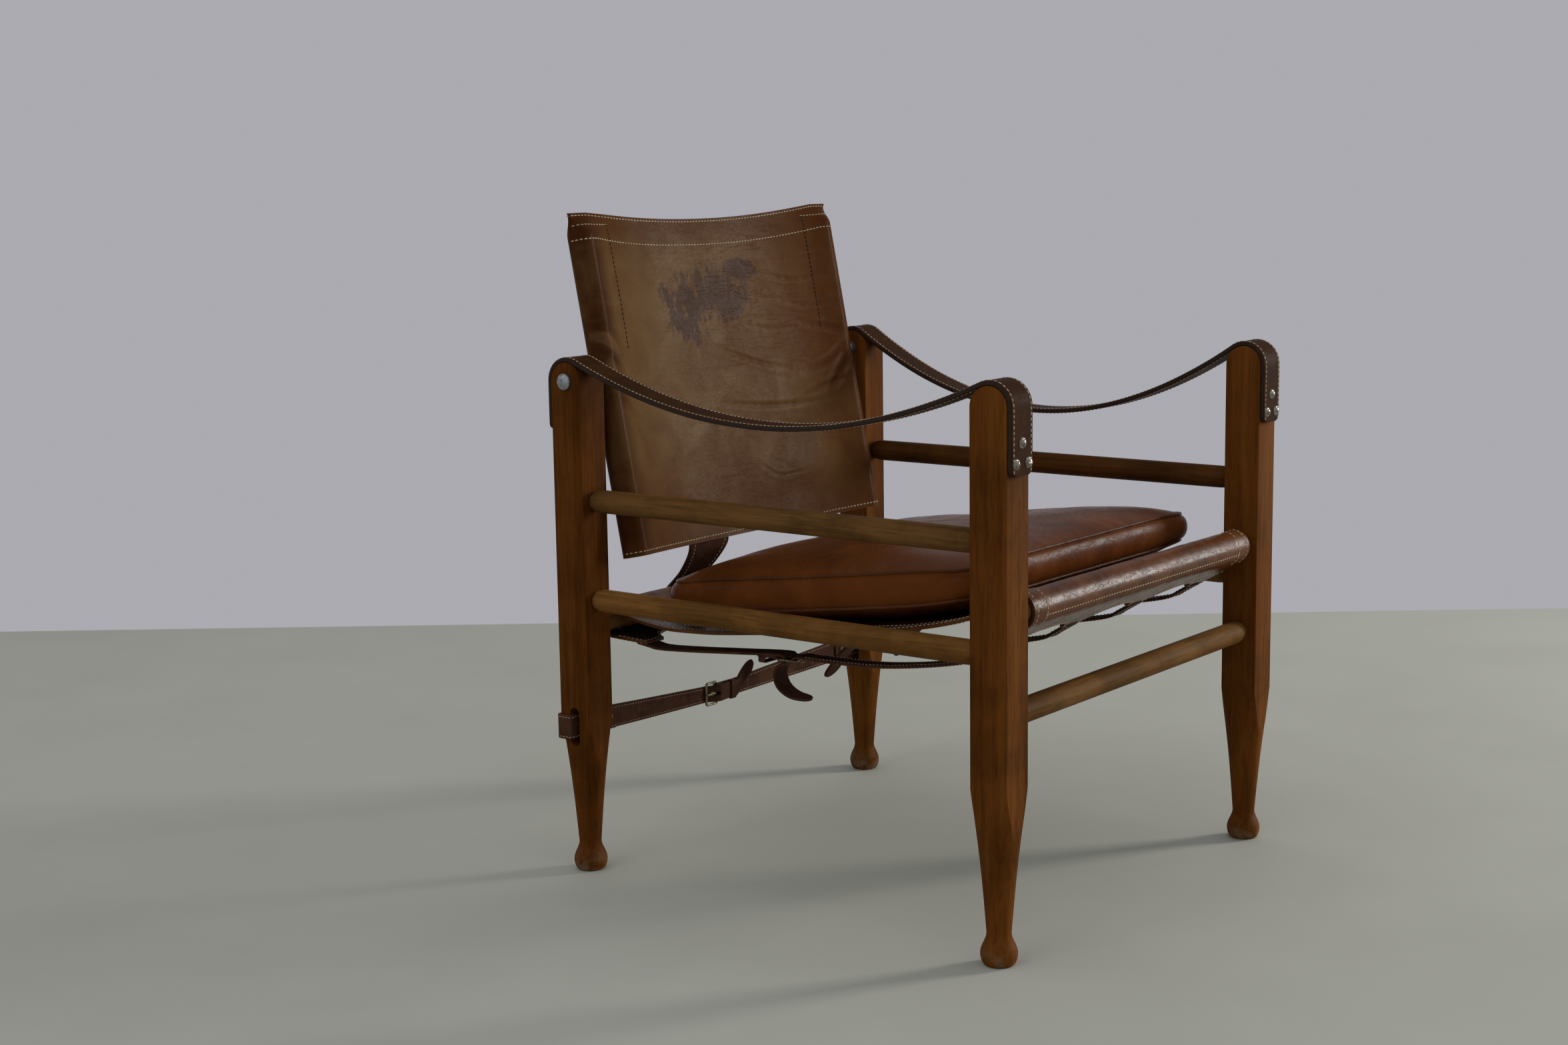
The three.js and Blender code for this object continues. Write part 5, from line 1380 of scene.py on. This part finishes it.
cushion = {
    "sideRoom": 17.0, "frontRoom": 51.5, "rearRoom": 85.5, "lift": 3.4, "slopeShare": 1.04, "hollow": 2.9,
    "boxing": 35.0, "corner": 34.0, "crown": 22.0, "belly": 23.0, "bulge": 3.6, "piping": 1.9,
    "cornerPinch": 0.16, "cornerBulge": 2.6,
    "rest": 0.6, "crownPower": 4.4, "seamInset": 4.4, "seamRise": 2.2,
    "around": 420, "puckers": 1.1, "slack": 1.5, "fill": 0.8,
}
cushionHalf = innerFace - cushion["sideRoom"]
cushionFront = legY - cushion["frontRoom"]
cushionRear = legY - cushion["rearRoom"]
cushionY = (cushionRear - cushionFront) / 2


def cushionPlan():
    r = cushion["corner"]
    corners = [(cushionHalf - r, cushionRear - r, 0), (-cushionHalf + r, cushionRear - r, 1),
               (-cushionHalf + r, -cushionFront + r, 2), (cushionHalf - r, -cushionFront + r, 3)]
    points = []
    for x, y, quarter in corners:
        points += list(arc(x, y, r, quarter * math.pi / 2, (quarter + 1) * math.pi / 2, 20))
    closed = np.vstack([points, points[:1]])
    s = lengths(closed)
    t = np.linspace(0, s[-1], cushion["around"], endpoint=False)
    at = np.stack([np.interp(t, s, closed[:, k]) for k in range(2)], axis=1)
    ahead = unit(np.roll(at, -1, axis=0) - np.roll(at, 1, axis=0))
    return t, at, np.stack([ahead[:, 1], -ahead[:, 0]], axis=1)


def cushionMiddle(y):
    reach = (cushionFront + cushionRear) / 2
    railMiddle = (frontRailZ + rearRailZ) / 2
    slope = cushion["slopeShare"] * (frontRailZ - rearRailZ) / (2 * legY)
    return railMiddle + sleeveRadius + cushion["lift"] - y * slope + cushion["hollow"] * (y / reach) ** 2


planRun, plan, planOut = cushionPlan()


def cushionLayers():
    half, inset, rise = cushion["boxing"] / 2, cushion["seamInset"], cushion["seamRise"]
    reachX, reachY = cushionHalf - inset, (cushionFront + cushionRear) / 2 - inset
    ringNoise = ripple(np.column_stack([plan, np.zeros(len(plan))]), 13.0, 21.0)
    longNoise = ripple(np.column_stack([plan, np.zeros(len(plan))]), 60.0, 22.0)
    fineNoise = ripple(np.column_stack([plan, np.zeros(len(plan))]), 6.5, 23.0)
    pucker = ringNoise + 0.5 * fineNoise
    # the corners are pinched in height and fuller between the seams
    diagonal = np.abs(plan[:, 0]) / cushionHalf + np.abs(plan[:, 1] - cushionY) / (reachY + inset)
    atCorner = np.clip((diagonal - 1.55) / 0.33, 0, 1) ** 2
    edgeHalf = half * (1 - cushion["cornerPinch"] * atCorner)
    swollen = cushion["bulge"] + cushion["cornerBulge"] * atCorner

    def fullness(x, y, share):
        square = (1 - np.abs(x / reachX) ** cushion["crownPower"]) * (1 - np.abs((y - cushionY) / reachY) ** cushion["crownPower"])
        return 0.6 * np.maximum(square, 0) + 0.4 * (1 - share ** (2 * cushion["crownPower"]))

    def panel(side, swell):
        rings = []
        shares = np.concatenate([np.linspace(0.02, 0.86, 44), 0.86 + 0.14 * (1 - (1 - np.linspace(0, 1, 24)[1:]) ** 1.7)])
        for share in shares:
            x = (plan[:, 0] - inset * 0.55 * planOut[:, 0]) * share
            y = cushionY + (plan[:, 1] - inset * 0.55 * planOut[:, 1] - cushionY) * share
            fromEdge = (1 - share) * np.hypot(plan[:, 0], plan[:, 1] - cushionY)
            near = np.exp(-fromEdge / 16) * np.clip(fromEdge / 5, 0, 1)
            level = half + (edgeHalf - half) * share ** 5 + rise * 0.4
            z = cushionMiddle(y) + side * (level + swell * fullness(x, y, share))
            probe = np.column_stack([x, y, np.full(len(x), 50.0 * side)])
            sway = ripple(probe, 85.0, 24.0) * cushion["slack"] + 0.45 * ripple(probe, 30.0, 25.0)
            inner = np.clip(fromEdge / 40, 0, 1)
            z = z + side * (cushion["puckers"] * pucker * near) + sway * inner
            rings.append(np.column_stack([x, y, z]))
        return rings

    boxing = []
    for share in np.linspace(0, 1, 19):
        out = swollen * math.sin(math.pi * share) ** 0.6 - inset * 0.62 * (abs(2 * share - 1) ** 5)
        folds = 0.55 * pucker * (abs(2 * share - 1) ** 1.5) * (1 - abs(2 * share - 1) ** 8) + 0.9 * longNoise * math.sin(math.pi * share)
        xy = plan + planOut * (out + folds)[:, None]
        z = cushionMiddle(plan[:, 1]) + (2 * share - 1) * (edgeHalf - 0.4)
        boxing.append(np.column_stack([xy, z]))
    seams = []
    for side in (-1, 1):
        wave = 0.35 * ringNoise
        xy = plan - planOut * (cushion["piping"] * 1.1)
        seams.append(np.column_stack([xy, cushionMiddle(plan[:, 1]) + side * (edgeHalf + 0.2) + wave]))
    return panel(-1, cushion["belly"]), boxing, panel(1, cushion["crown"])[::-1], seams


def liftToSling(points):
    points = np.array(points)
    floorZ = slingTop(points[..., 1]) + cushion["rest"]
    points[..., 2] = np.maximum(points[..., 2], floorZ)
    return points + (0, middleY, 0)


def makeCushion():
    bottom, boxing, top, seams = cushionLayers()
    rings = liftToSling(np.array(list(bottom) + list(boxing) + list(top)))
    obj = surface("seatCushion", rings, along=lengths(rings[:, 0]), around=None)
    shade(obj, 60)
    tubes = []
    for seam in seams:
        line = liftToSling(seam)
        ahead = unit(np.roll(line, -1, axis=0) - np.roll(line, 1, axis=0))
        out = unit(np.column_stack([planOut, np.zeros(len(planOut))]))
        up = unit(np.cross(ahead, out))
        turn = np.linspace(0, 2 * math.pi, 12, endpoint=False)
        ring = [line + cushion["piping"] * (math.cos(t) * out + math.sin(t) * up) for t in turn]
        rings2 = np.array(ring).transpose(1, 0, 2)
        closedRings = np.concatenate([rings2, rings2[:1]])
        tube = surface("cushionPiping", closedRings, closed=True, caps=False)
        turnOut(tube)
        tubes.append(shade(tube, 60))
    return obj, tubes


def cushionMaterial(name, dark, tan):
    paint = Paint(name)
    vector = paint.coords()
    clouds = paint.noise(vector, 7, 5, 0.6, 0.4)
    blotch = paint.noise(vector, 26, 5, 0.65)
    colour = paint.ramp(clouds, [(0.3, dark), (0.6, tan)])
    colour = paint.mix(paint.grey(blotch, 0.5, 0.72, 0.0, 0.35), colour, tuple(c * 1.5 for c in tan))
    rough = paint.grey(blotch, 0.3, 0.7, 0.22, 0.34)
    colour, rough, normal = leatherLook(paint, colour, rough, 0.10, 0.2)
    return paint.done(colour, rough, normal, Specular_IOR_Level=0.04)


cushionLeather = cushionMaterial("cognacCushionLeather", leather["cushionDark"], leather["cushionTan"])
pipingLeather = cushionMaterial("pipingLeather", (0.05, 0.016, 0.007), (0.11, 0.04, 0.014))
obj, tubes = makeCushion()
obj.data.materials.append(cushionLeather)
tubeObject = joined("cushionPiping", tubes)
tubeObject.data.materials.clear()
tubeObject.data.materials.append(pipingLeather)
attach(obj, "cushion")
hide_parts("seat_cushion")
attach(tubeObject, "cushion")
print("cushion filled")

# Buckles, straps under the seat, tie strap

buckle = {
    "wire": 3.0, "length": 20.0, "side": 1.6, "corner": 2.8, "tongueWidth": 3.0, "tongueThickness": 2.0, "tip": 2.2,
    "tongueSlot": 5.0, "return": 34.0, "keeper": 9.0, "keeperWall": 1.6, "hole": 13.0, "holeWidth": 4.6,
}
seatStrap = {
    "width": 24.0, "thickness": 3.0, "lap": 20.0, "sag": 8.0, "rearward": 33.0, "tail": 66.0, "stitchInset": 2.8,
    "curlShares": [(-0.08, -0.03), (-0.16, -0.17), (-0.1, -0.37), (0.1, -0.5), (0.45, -0.55)],
    "hangShares": [(-0.14, -0.06), (-0.36, -0.24), (-0.74, -0.7)],
}
tieStrap = {
    "width": 28.0, "buckleWidth": 20.0, "offset": -30.0, "sag": 9.0, "tab": 35.0, "tail": 22.0,
    "tailShares": [(-0.3, -0.02), (-0.65, -0.15), (-0.95, -0.45)], "tailRise": 52.0,
    "slot": 14.0, "rivet": 22.0, "rivetShank": 3.4, "rivetHead": 8.4, "rivetHeight": 1.2,
}
thick = seatStrap["thickness"]
onBar = buckle["wire"] / 2 + chair["seat"] + thick / 2
layerGap = thick + chair["seat"]
tailRadius = onBar + layerGap
throughTurn = math.asin((onBar + tailRadius) / buckle["length"])
tongueLevel = -(buckle["wire"] / 2 + chair["seat"] + buckle["tongueThickness"] / 2)
foldLevel = onBar - layerGap
keeperLevel = foldLevel - layerGap - chair["seat"]
holePlace = buckle["length"] * (tongueLevel + tailRadius) / (onBar + tailRadius)


def sweep(name, path, radius, sides=12, closed=True):
    # a round wire along a closed line of world points
    path = np.asarray(path, float)
    ahead = unit(np.roll(path, -1, axis=0) - np.roll(path, 1, axis=0))
    flat = unit(np.cross(path[len(path) // 3] - path[0], path[2 * len(path) // 3] - path[0]))
    out = unit(np.cross(ahead, flat))
    turn = np.linspace(0, 2 * math.pi, sides, endpoint=False)
    rings = np.array([path + radius * (math.cos(t) * out + math.sin(t) * flat) for t in turn]).transpose(1, 0, 2)
    obj = surface(name, np.concatenate([rings, rings[:1]]), closed=True, caps=False)
    turnOut(obj)
    return shade(obj, 60)


def buckleFrame(name, width, place):
    half, r = width / 2 + buckle["side"] + buckle["wire"] / 2, buckle["corner"]
    length = buckle["length"]
    corners = [(r, half - r, 0.5), (r, -half + r, 1.0), (length - r, -half + r, 1.5), (length - r, half - r, 0.0)]
    path = np.vstack([arc(x, y, r, s * math.pi, (s + 0.5) * math.pi, 8) for x, y, s in corners])
    path = resample(np.vstack([path, path[:1]]), 1.2)[:-1]
    a, c = path.T
    points = np.stack(place(a, np.zeros(len(a)), c), axis=1)
    return sweep(name, points, buckle["wire"] / 2)


def buckleTongue(name, place):
    radius = -tongueLevel
    ring = arc(0, 0, radius, -math.pi / 2 - math.radians(338), -math.pi / 2, 30)
    reach = buckle["length"] + buckle["tip"]
    pin = np.column_stack([np.linspace(0, reach, 24)[1:], np.full(23, -radius)])
    line = np.vstack([ring, pin])
    s = lengths(line)
    half = np.where(line[:, 0] > 2, buckle["tongueWidth"] / 2 * (1 - 0.32 * np.clip(line[:, 0] / reach, 0, 1)), buckle["tongueWidth"] / 2)
    half = endRound(s, half, 1.0, atStart=False)
    obj = strap(name, line, place, np.maximum(half, 0.3), buckle["tongueThickness"], soft=0.7, wobble=0.0)
    return obj


def chapeLine(root):
    fold = arc(0, 0, onBar, math.pi / 2, -2 * math.pi / 3, 16)
    # the fold runs over the top of the heel bar and back underneath
    mouth = -2 * onBar
    return np.vstack([root, [(mouth, onBar)], fold, [(mouth, foldLevel)], [(-buckle["return"], foldLevel)]])


def billetLine(run, tail):
    up = math.pi / 2
    bar = arc(buckle["length"], 0, onBar, up, up + throughTurn, 6)
    heel = arc(0, 0, tailRadius, -up + throughTurn, -up, 6)
    return np.vstack([run, bar, heel, tail])


def freeTail(shares, length, a, b):
    return [(a + along * length, b + out * length) for along, out in shares]


def tongueCut(obj, place, a, length, width):
    # a through hole across the strap at a, drawn in the buckle's own axes
    turn = np.linspace(0, 2 * math.pi, 20, endpoint=False)
    ring = np.column_stack([a + length / 2 * np.cos(turn), width / 2 * np.sin(turn)])
    deep = 2.2 * tailRadius
    rings = [np.stack(place(ring[:, 0], np.full(20, b), ring[:, 1]), axis=1) for b in (-deep, deep)]
    return cutAway(obj, surface("holeTool", rings))


def makeKeeper(name, place, width):
    # a loop of leather round both layers, sewn in behind the buckle
    wall = buckle["keeperWall"]
    x = -buckle["return"] + buckle["keeper"]
    halfY, halfZ = width / 2 + chair["seat"] + wall / 2, (thick + 2 * chair["seat"] + wall) / 2
    r = 1.6
    corners = [(halfY - r, halfZ - r, 0), (-halfY + r, halfZ - r, 1), (-halfY + r, -halfZ + r, 2), (halfY - r, -halfZ + r, 3)]
    loop = np.vstack([arc(cy, cz, r, q * math.pi / 2, (q + 1) * math.pi / 2, 5) for cy, cz, q in corners])
    loop = np.vstack([loop, loop[:1] + (0, 1e-3)])

    def across(p, q, c):
        return place(x + c, q + keeperLevel, p)

    return strap(name, loop, across, buckle["keeper"] / 2, wall, soft=0.5, wobble=0.0)


def straplike(name, line, place, half, middle=None, seed=1.0):
    return strap(name, line, place, half, thick, middle, 1.0, 0.25, seed)


def lapRoot(end):
    railZ = frontRailZ if end < 0 else rearRailZ
    below = sling["thickness"] / 2 + 1.0 + thick / 2
    drop = flapDrops[end]

    def at(along):
        level = -sleeveRadius + 1.6 - along * math.tan(drop)
        y = end * (legY - along)
        return (seatStrap["rearward"] - y, railZ + level - below / math.cos(drop) - buckleZ)

    return [at(sling["flap"] - seatStrap["lap"]), at(sling["flap"]), at(sling["flap"] + seatStrap["lap"] / 2)]


def rowsOn(line, place, half, middle, start, end, both=False):
    rows = []
    for out in ((thick / 2, -thick / 2) if both else (-thick / 2,)):
        for sign in (-1, 1):
            rows.append(strapRow(line, place, sign * (half - seatStrap["stitchInset"]), out, middle, start, end))
    return rows


seatRows = []
for i, x in enumerate(toothX):
    def atBuckle(a, b, c, x=x):
        return x + c, middleY + seatStrap["rearward"] - a, buckleZ + b

    lap, tip, past = lapRoot(-1)
    bar = (buckle["length"] + onBar, onBar)
    middlePoint = ((past[0] + bar[0]) / 2, (past[1] + bar[1]) / 2 - seatStrap["sag"])
    run = np.array([lap, tip, past, middlePoint, bar])
    shares = seatStrap["curlShares"] if i in (0, 3) else seatStrap["hangShares"]
    line = smoothLine(billetLine(run, freeTail(shares, seatStrap["tail"], 0, -tailRadius)), 1.6)
    s = lengths(line)
    half = np.full(len(s), seatStrap["width"] / 2)
    nearBuckle = np.exp(-(np.hypot(line[:, 0] - 8, line[:, 1]) / 16) ** 2)
    half = half - 1.3 * nearBuckle
    pointed = np.clip((s[-1] - s) / 15, 0, 1)
    half = half * (0.25 + 0.75 * np.sqrt(np.maximum(1 - (1 - pointed) ** 2, 0)))
    half = endRound(s, half, 4.0, atEnd=False)
    piece = straplike(f"seatStrapFront_{i + 1}", line, atBuckle, half, seed=30 + i)
    tongueCut(piece, atBuckle, holePlace, buckle["hole"], buckle["holeWidth"])
    finish(piece, "frame", "strap_leather", [tieLeather], f"seat_strap_front_{i + 1}")
    upTo = s[-1] - s[np.argmin(np.hypot(line[:, 0] - buckle["length"] - 12, line[:, 1] - onBar))]
    seatRows += rowsOn(line, atBuckle, half, None, 4.0, upTo, both=True)
    root = np.array(lapRoot(1))
    line = smoothLine(chapeLine(root), 1.2)
    s = lengths(line)
    half = endRound(s, seatStrap["width"] / 2, 3.5)
    piece = straplike(f"seatStrapRear_{i + 1}", line, atBuckle, half, seed=40 + i)
    tongueCut(piece, atBuckle, onBar * 0.2, 3.4 * onBar, buckle["tongueSlot"])
    keeper = makeKeeper(f"seatStrapKeeper_{i + 1}", atBuckle, seatStrap["width"])
    finish(piece, "frame", "strap_leather", [tieLeather], f"seat_strap_rear_{i + 1}")
    finish(keeper, "frame", "strap_leather", [tieLeather])
    frameRing = buckleFrame(f"seatBuckle_{i + 1}", seatStrap["width"], atBuckle)
    finish(frameRing, "frame", "brass", [brass], f"seat_buckle_{i + 1}")
    pin = buckleTongue(f"seatTongue_{i + 1}", atBuckle)
    finish(pin, f"tongue_{i + 1}", "brass", [brass], f"seat_tongue_{i + 1}")
sew("seatStrapStitches", seatRows, "frame", "strap_leather", creamThread, pitch=4.6, length=3.1, width=0.8)
print("seat straps buckled")

wrap = thick / 2 + chair["seat"]
tabLevel = tieStrap["slot"] / 2 - wrap
mainLevel = tabLevel + layerGap
tieLevel = mainLevel - onBar
tieHub = (tieStrap["offset"], legY + tieLevel + middleY, tieZ - tieStrap["sag"])


def atTie(a, b, c):
    return tieHub[0] - a, tieHub[1] + b, tieHub[2] + c


def tieLoop():
    rear = chair["legDepth"] / 2
    slope = math.pi / 4
    drop = rear + wrap * math.sin(slope) - mainLevel
    bend = -wrap * math.cos(slope) - drop
    width = chair["legWidth"]
    return np.vstack([
        [(-tieStrap["tab"], tabLevel)],
        arc(width, tieStrap["slot"] / 2, wrap, -math.pi / 2, 0, 6),
        arc(width, rear, wrap, 0, math.pi / 2, 6),
        arc(0, rear, wrap, math.pi / 2, math.pi / 2 + slope, 4),
        [(bend + wrap, mainLevel + wrap), (bend - wrap, mainLevel)],
    ])


def tieReach(side):
    return innerFace + side * tieStrap["offset"]


def tieRoot(side):
    loop = tieLoop()
    return np.column_stack([-side * (tieReach(-side) + loop[:, 0]), loop[:, 1] - tieLevel])


def tieShape(line, side, near, far):
    share = np.clip((side * line[:, 0] - near) / (far - near), 0, 1)
    half = (tieStrap["buckleWidth"] + (tieStrap["width"] - tieStrap["buckleWidth"]) * share) / 2
    past = np.maximum(-side * line[:, 0] - buckle["return"], 0)
    return half, tieStrap["sag"] * share + past * math.tan(math.radians(tieStrap["tailRise"]))


back34, keep = -buckle["return"], buckle["keeper"]
tail = [(back34 + 1.5 * keep, keeperLevel), (back34 + keep / 2, keeperLevel)]
tail += freeTail(tieStrap["tailShares"], tieStrap["tail"], back34, keeperLevel)
tieRows = []
for sideName, side in (("left", -1), ("right", 1)):
    if side < 0:
        line = smoothLine(billetLine(tieRoot(-1), tail), 1.4)
        half, middle = tieShape(line, 1, buckle["length"] + onBar, tieReach(1))
    else:
        line = smoothLine(chapeLine(tieRoot(1)), 1.4)
        half, middle = tieShape(line, -1, buckle["return"], tieReach(-1))
    s = lengths(line)
    half = endRound(s, half, 4.0)
    if side < 0:
        pointed = np.clip((s[-1] - s) / 10, 0, 1)
        half = np.minimum(half, half * (0.3 + 0.7 * np.sqrt(np.maximum(1 - (1 - pointed) ** 2, 0))))
    piece = straplike(f"tieStrap_{sideName}", line, atTie, half, middle, seed=50 + side)
    if side < 0:
        tongueCut(piece, atTie, holePlace, buckle["hole"], buckle["holeWidth"])
    else:
        tongueCut(piece, atTie, onBar * 0.2, 3.4 * onBar, buckle["tongueSlot"])
        finish(makeKeeper("tieKeeper", atTie, tieStrap["buckleWidth"]), "frame", "strap_leather", [tieLeather])
    finish(piece, "frame", "strap_leather", [tieLeather], f"tie_strap_{sideName}")
    keepTo = s[-1] - s[np.argmin(np.abs(line[:, 0] - side * -1 * 26) + 40 * (line[:, 1] < 1) + 0.001 * s)]
    tieRows += rowsOn(line, atTie, half, middle, 4.0, keepTo, both=True)
    x = side * (innerFace - tieStrap["rivet"])
    low, high = -thick / 2 - chair["seat"], thick / 2 + layerGap + chair["seat"]
    shank, head, tall = tieStrap["rivetShank"] / 2, tieStrap["rivetHead"] / 2, tieStrap["rivetHeight"]
    profile = [(0, low - tall), (head * 0.4, low - tall), (head * 0.8, low - tall * 0.75), (head, low - 0.2), (head, low), (shank, low),
               (shank, high), (head, high), (head, high + 0.2), (head * 0.8, high + tall * 0.75), (head * 0.4, high + tall), (0, high + tall)]
    rivet = turned(f"tieRivet_{sideName}", profile, (x, tieHub[1] + tabLevel - tieLevel, tieZ), "y", 24)
    finish(rivet, "frame", "brass", [brass], f"tie_rivet_{sideName}")
sew("tieStrapStitches", tieRows, "frame", "strap_leather", creamThread, pitch=4.6, length=3.2, width=0.85)
finish(buckleFrame("tieBuckle", tieStrap["buckleWidth"], atTie), "frame", "brass", [brass], "tie_buckle")
finish(buckleTongue("tieTongue", atTie), "tongue_tie", "brass", [brass], "tie_tongue")
print("tie strap buckled")

# Back strap

backStrap = {
    "offset": -82.0, "topWidth": 70.0, "width": 48.0, "thickness": 3.0, "lap": 22.0, "slack": 9.0, "stitchInset": 8.0,
}


def backStrapLine():
    half = backStrap["thickness"] / 2
    outer = abs(backStrap["offset"]) - backStrap["topWidth"] / 2
    behind = float(backBow(outer)) + 1.7 + chair["seat"] + half
    lap = inRoom(0, behind, -back["below"] + backStrap["lap"])[1:]
    leave = inRoom(0, behind, -back["below"] - backStrap["thickness"])[1:]
    lap, leave = (np.array(p) for p in (lap, leave))
    radius = sleeveRadius + chair["seat"] + half
    hub = np.array([rearY, rearRailZ])
    away = leave - hub
    touch = math.atan2(away[1], away[0]) - math.acos(radius / np.linalg.norm(away))
    turn = arc(hub[0], hub[1], radius, touch, -math.pi / 2, 20)
    middle = (leave + turn[0]) / 2 - (backStrap["slack"] / 2, backStrap["slack"] / 4)
    return smoothLine(np.vstack([[lap, (lap + leave) / 2, leave, middle], turn]), 1.8), leave, turn[0]


def onBackStrap(a, b, c):
    return backStrap["offset"] + c, a, b


line, leave, landing = backStrapLine()
share = np.clip((line[:, 1] - landing[1]) / (leave[1] - landing[1]), 0, 1)
half = (backStrap["width"] + (backStrap["topWidth"] - backStrap["width"]) * share) / 2
half = endRound(lengths(line), half, 5.0)
piece = strap("backStrap", line, onBackStrap, half, backStrap["thickness"], None, 1.0, 0.4, 60)
finish(piece, None, "strap_leather", [tieLeather], "back_strap")
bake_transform(piece)
rows = []
for out in (1.5, -1.5):
    for sign in (-1, 1):
        rows.append(strapRow(line, onBackStrap, sign * (half - backStrap["stitchInset"]), out, None, 3.0, 6.0))
threads = sew("backStrapStitches", rows, None, "strap_leather", creamThread)
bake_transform(threads)
print("back strap hung")


# Floor, light and camera

stageLook = {
    "floor": (0.55, 0.55, 0.475), "wall": (0.405, 0.405, 0.437),
    "camera": (-2098.9, -1447.5, 784.2), "azimuth": -52.14, "elevation": 8.91, "roll": -0.86, "focalPixels": 3424.97,
}

az, el, roll = (math.radians(stageLook[key]) for key in ("azimuth", "elevation", "roll"))
backward = Vector((math.sin(az) * math.cos(el), -math.cos(az) * math.cos(el), math.sin(el)))
rightward = Vector((math.cos(az), math.sin(az), 0))
upward = backward.cross(rightward)
right2 = math.cos(roll) * rightward + math.sin(roll) * upward
up2 = -math.sin(roll) * rightward + math.cos(roll) * upward
camera = bpy.data.objects.new("photoCamera", bpy.data.cameras.new("photoCamera"))
camera.matrix_world = Matrix((right2, up2, backward)).transposed().to_4x4()
camera.location = Vector(stageLook["camera"]) * mm
camera.data.sensor_width = 36
camera.data.lens = stageLook["focalPixels"] * 36 / 2352
camera.data.clip_end = 50
scene.collection.objects.link(camera)
scene.camera = camera

floorMesh = bpy.data.meshes.new("floor")
ahead = Vector((-math.sin(az), math.cos(az), 0))
across = Vector((math.cos(az), math.sin(az), 0))
corners = [across * a + ahead * b for a, b in ((-6, -6), (6, -6), (6, 1.36), (-6, 1.36))]
floorMesh.from_pydata([tuple(c) for c in corners], [], [(0, 1, 2, 3)])
floor = bpy.data.objects.new("floor", floorMesh)
scene.collection.objects.link(floor)
paint = Paint("paleFloor")
speckle = paint.noise(paint.coords(), 3.0, 5, 0.6)
tone = paint.mix(paint.grey(speckle, 0.3, 0.7), stageLook["floor"], tuple(c * 0.93 for c in stageLook["floor"]))
floor.data.materials.append(paint.done(tone, 0.7, None, Specular_IOR_Level=0.1))
floor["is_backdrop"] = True

world = bpy.data.worlds.new("studio")
scene.world = world
world.use_nodes = True
tree = world.node_tree
tree.nodes.clear()
output = tree.nodes.new("ShaderNodeOutputWorld")
seen = tree.nodes.new("ShaderNodeBackground")
lit = tree.nodes.new("ShaderNodeBackground")
rays = tree.nodes.new("ShaderNodeLightPath")
either = tree.nodes.new("ShaderNodeMath")
either.operation = "MAXIMUM"
third = tree.nodes.new("ShaderNodeMath")
third.operation = "MAXIMUM"
mixer = tree.nodes.new("ShaderNodeMixShader")
seen.inputs["Color"].default_value = (*stageLook["wall"], 1)
lit.inputs["Color"].default_value = (0.93, 0.95, 1.0, 1)
lit.inputs["Strength"].default_value = 0.44
tree.links.new(rays.outputs["Is Camera Ray"], either.inputs[0])
tree.links.new(rays.outputs["Is Glossy Ray"], either.inputs[1])
tree.links.new(either.outputs[0], third.inputs[0])
tree.links.new(rays.outputs["Is Transmission Ray"], third.inputs[1])
tree.links.new(third.outputs[0], mixer.inputs[0])
tree.links.new(lit.outputs[0], mixer.inputs[1])
tree.links.new(seen.outputs[0], mixer.inputs[2])
tree.links.new(mixer.outputs[0], output.inputs["Surface"])


def areaLight(name, place, target, size, power, colour):
    lamp = bpy.data.lights.new(name, "AREA")
    lamp.shape = "RECTANGLE"
    lamp.size, lamp.size_y = size
    lamp.spread = math.radians(100)
    lamp.energy = power
    lamp.color = colour
    obj = bpy.data.objects.new(name, lamp)
    obj.location = place
    obj.rotation_euler = (Vector(target) - Vector(place)).to_track_quat("-Z", "Y").to_euler()
    scene.collection.objects.link(obj)


areaLight("rightWindow", (3.9, -2.8, 1.5), (0, 0, 0.4), (0.9, 2.3), 44, (1.0, 0.985, 0.95))
areaLight("leftWindow", (-3.0, 0.3, 1.9), (0, 0, 0.4), (1.8, 1.8), 4, (0.93, 0.96, 1.0))
scene.view_settings.view_transform = "Standard"
print("stage set")

low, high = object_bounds()
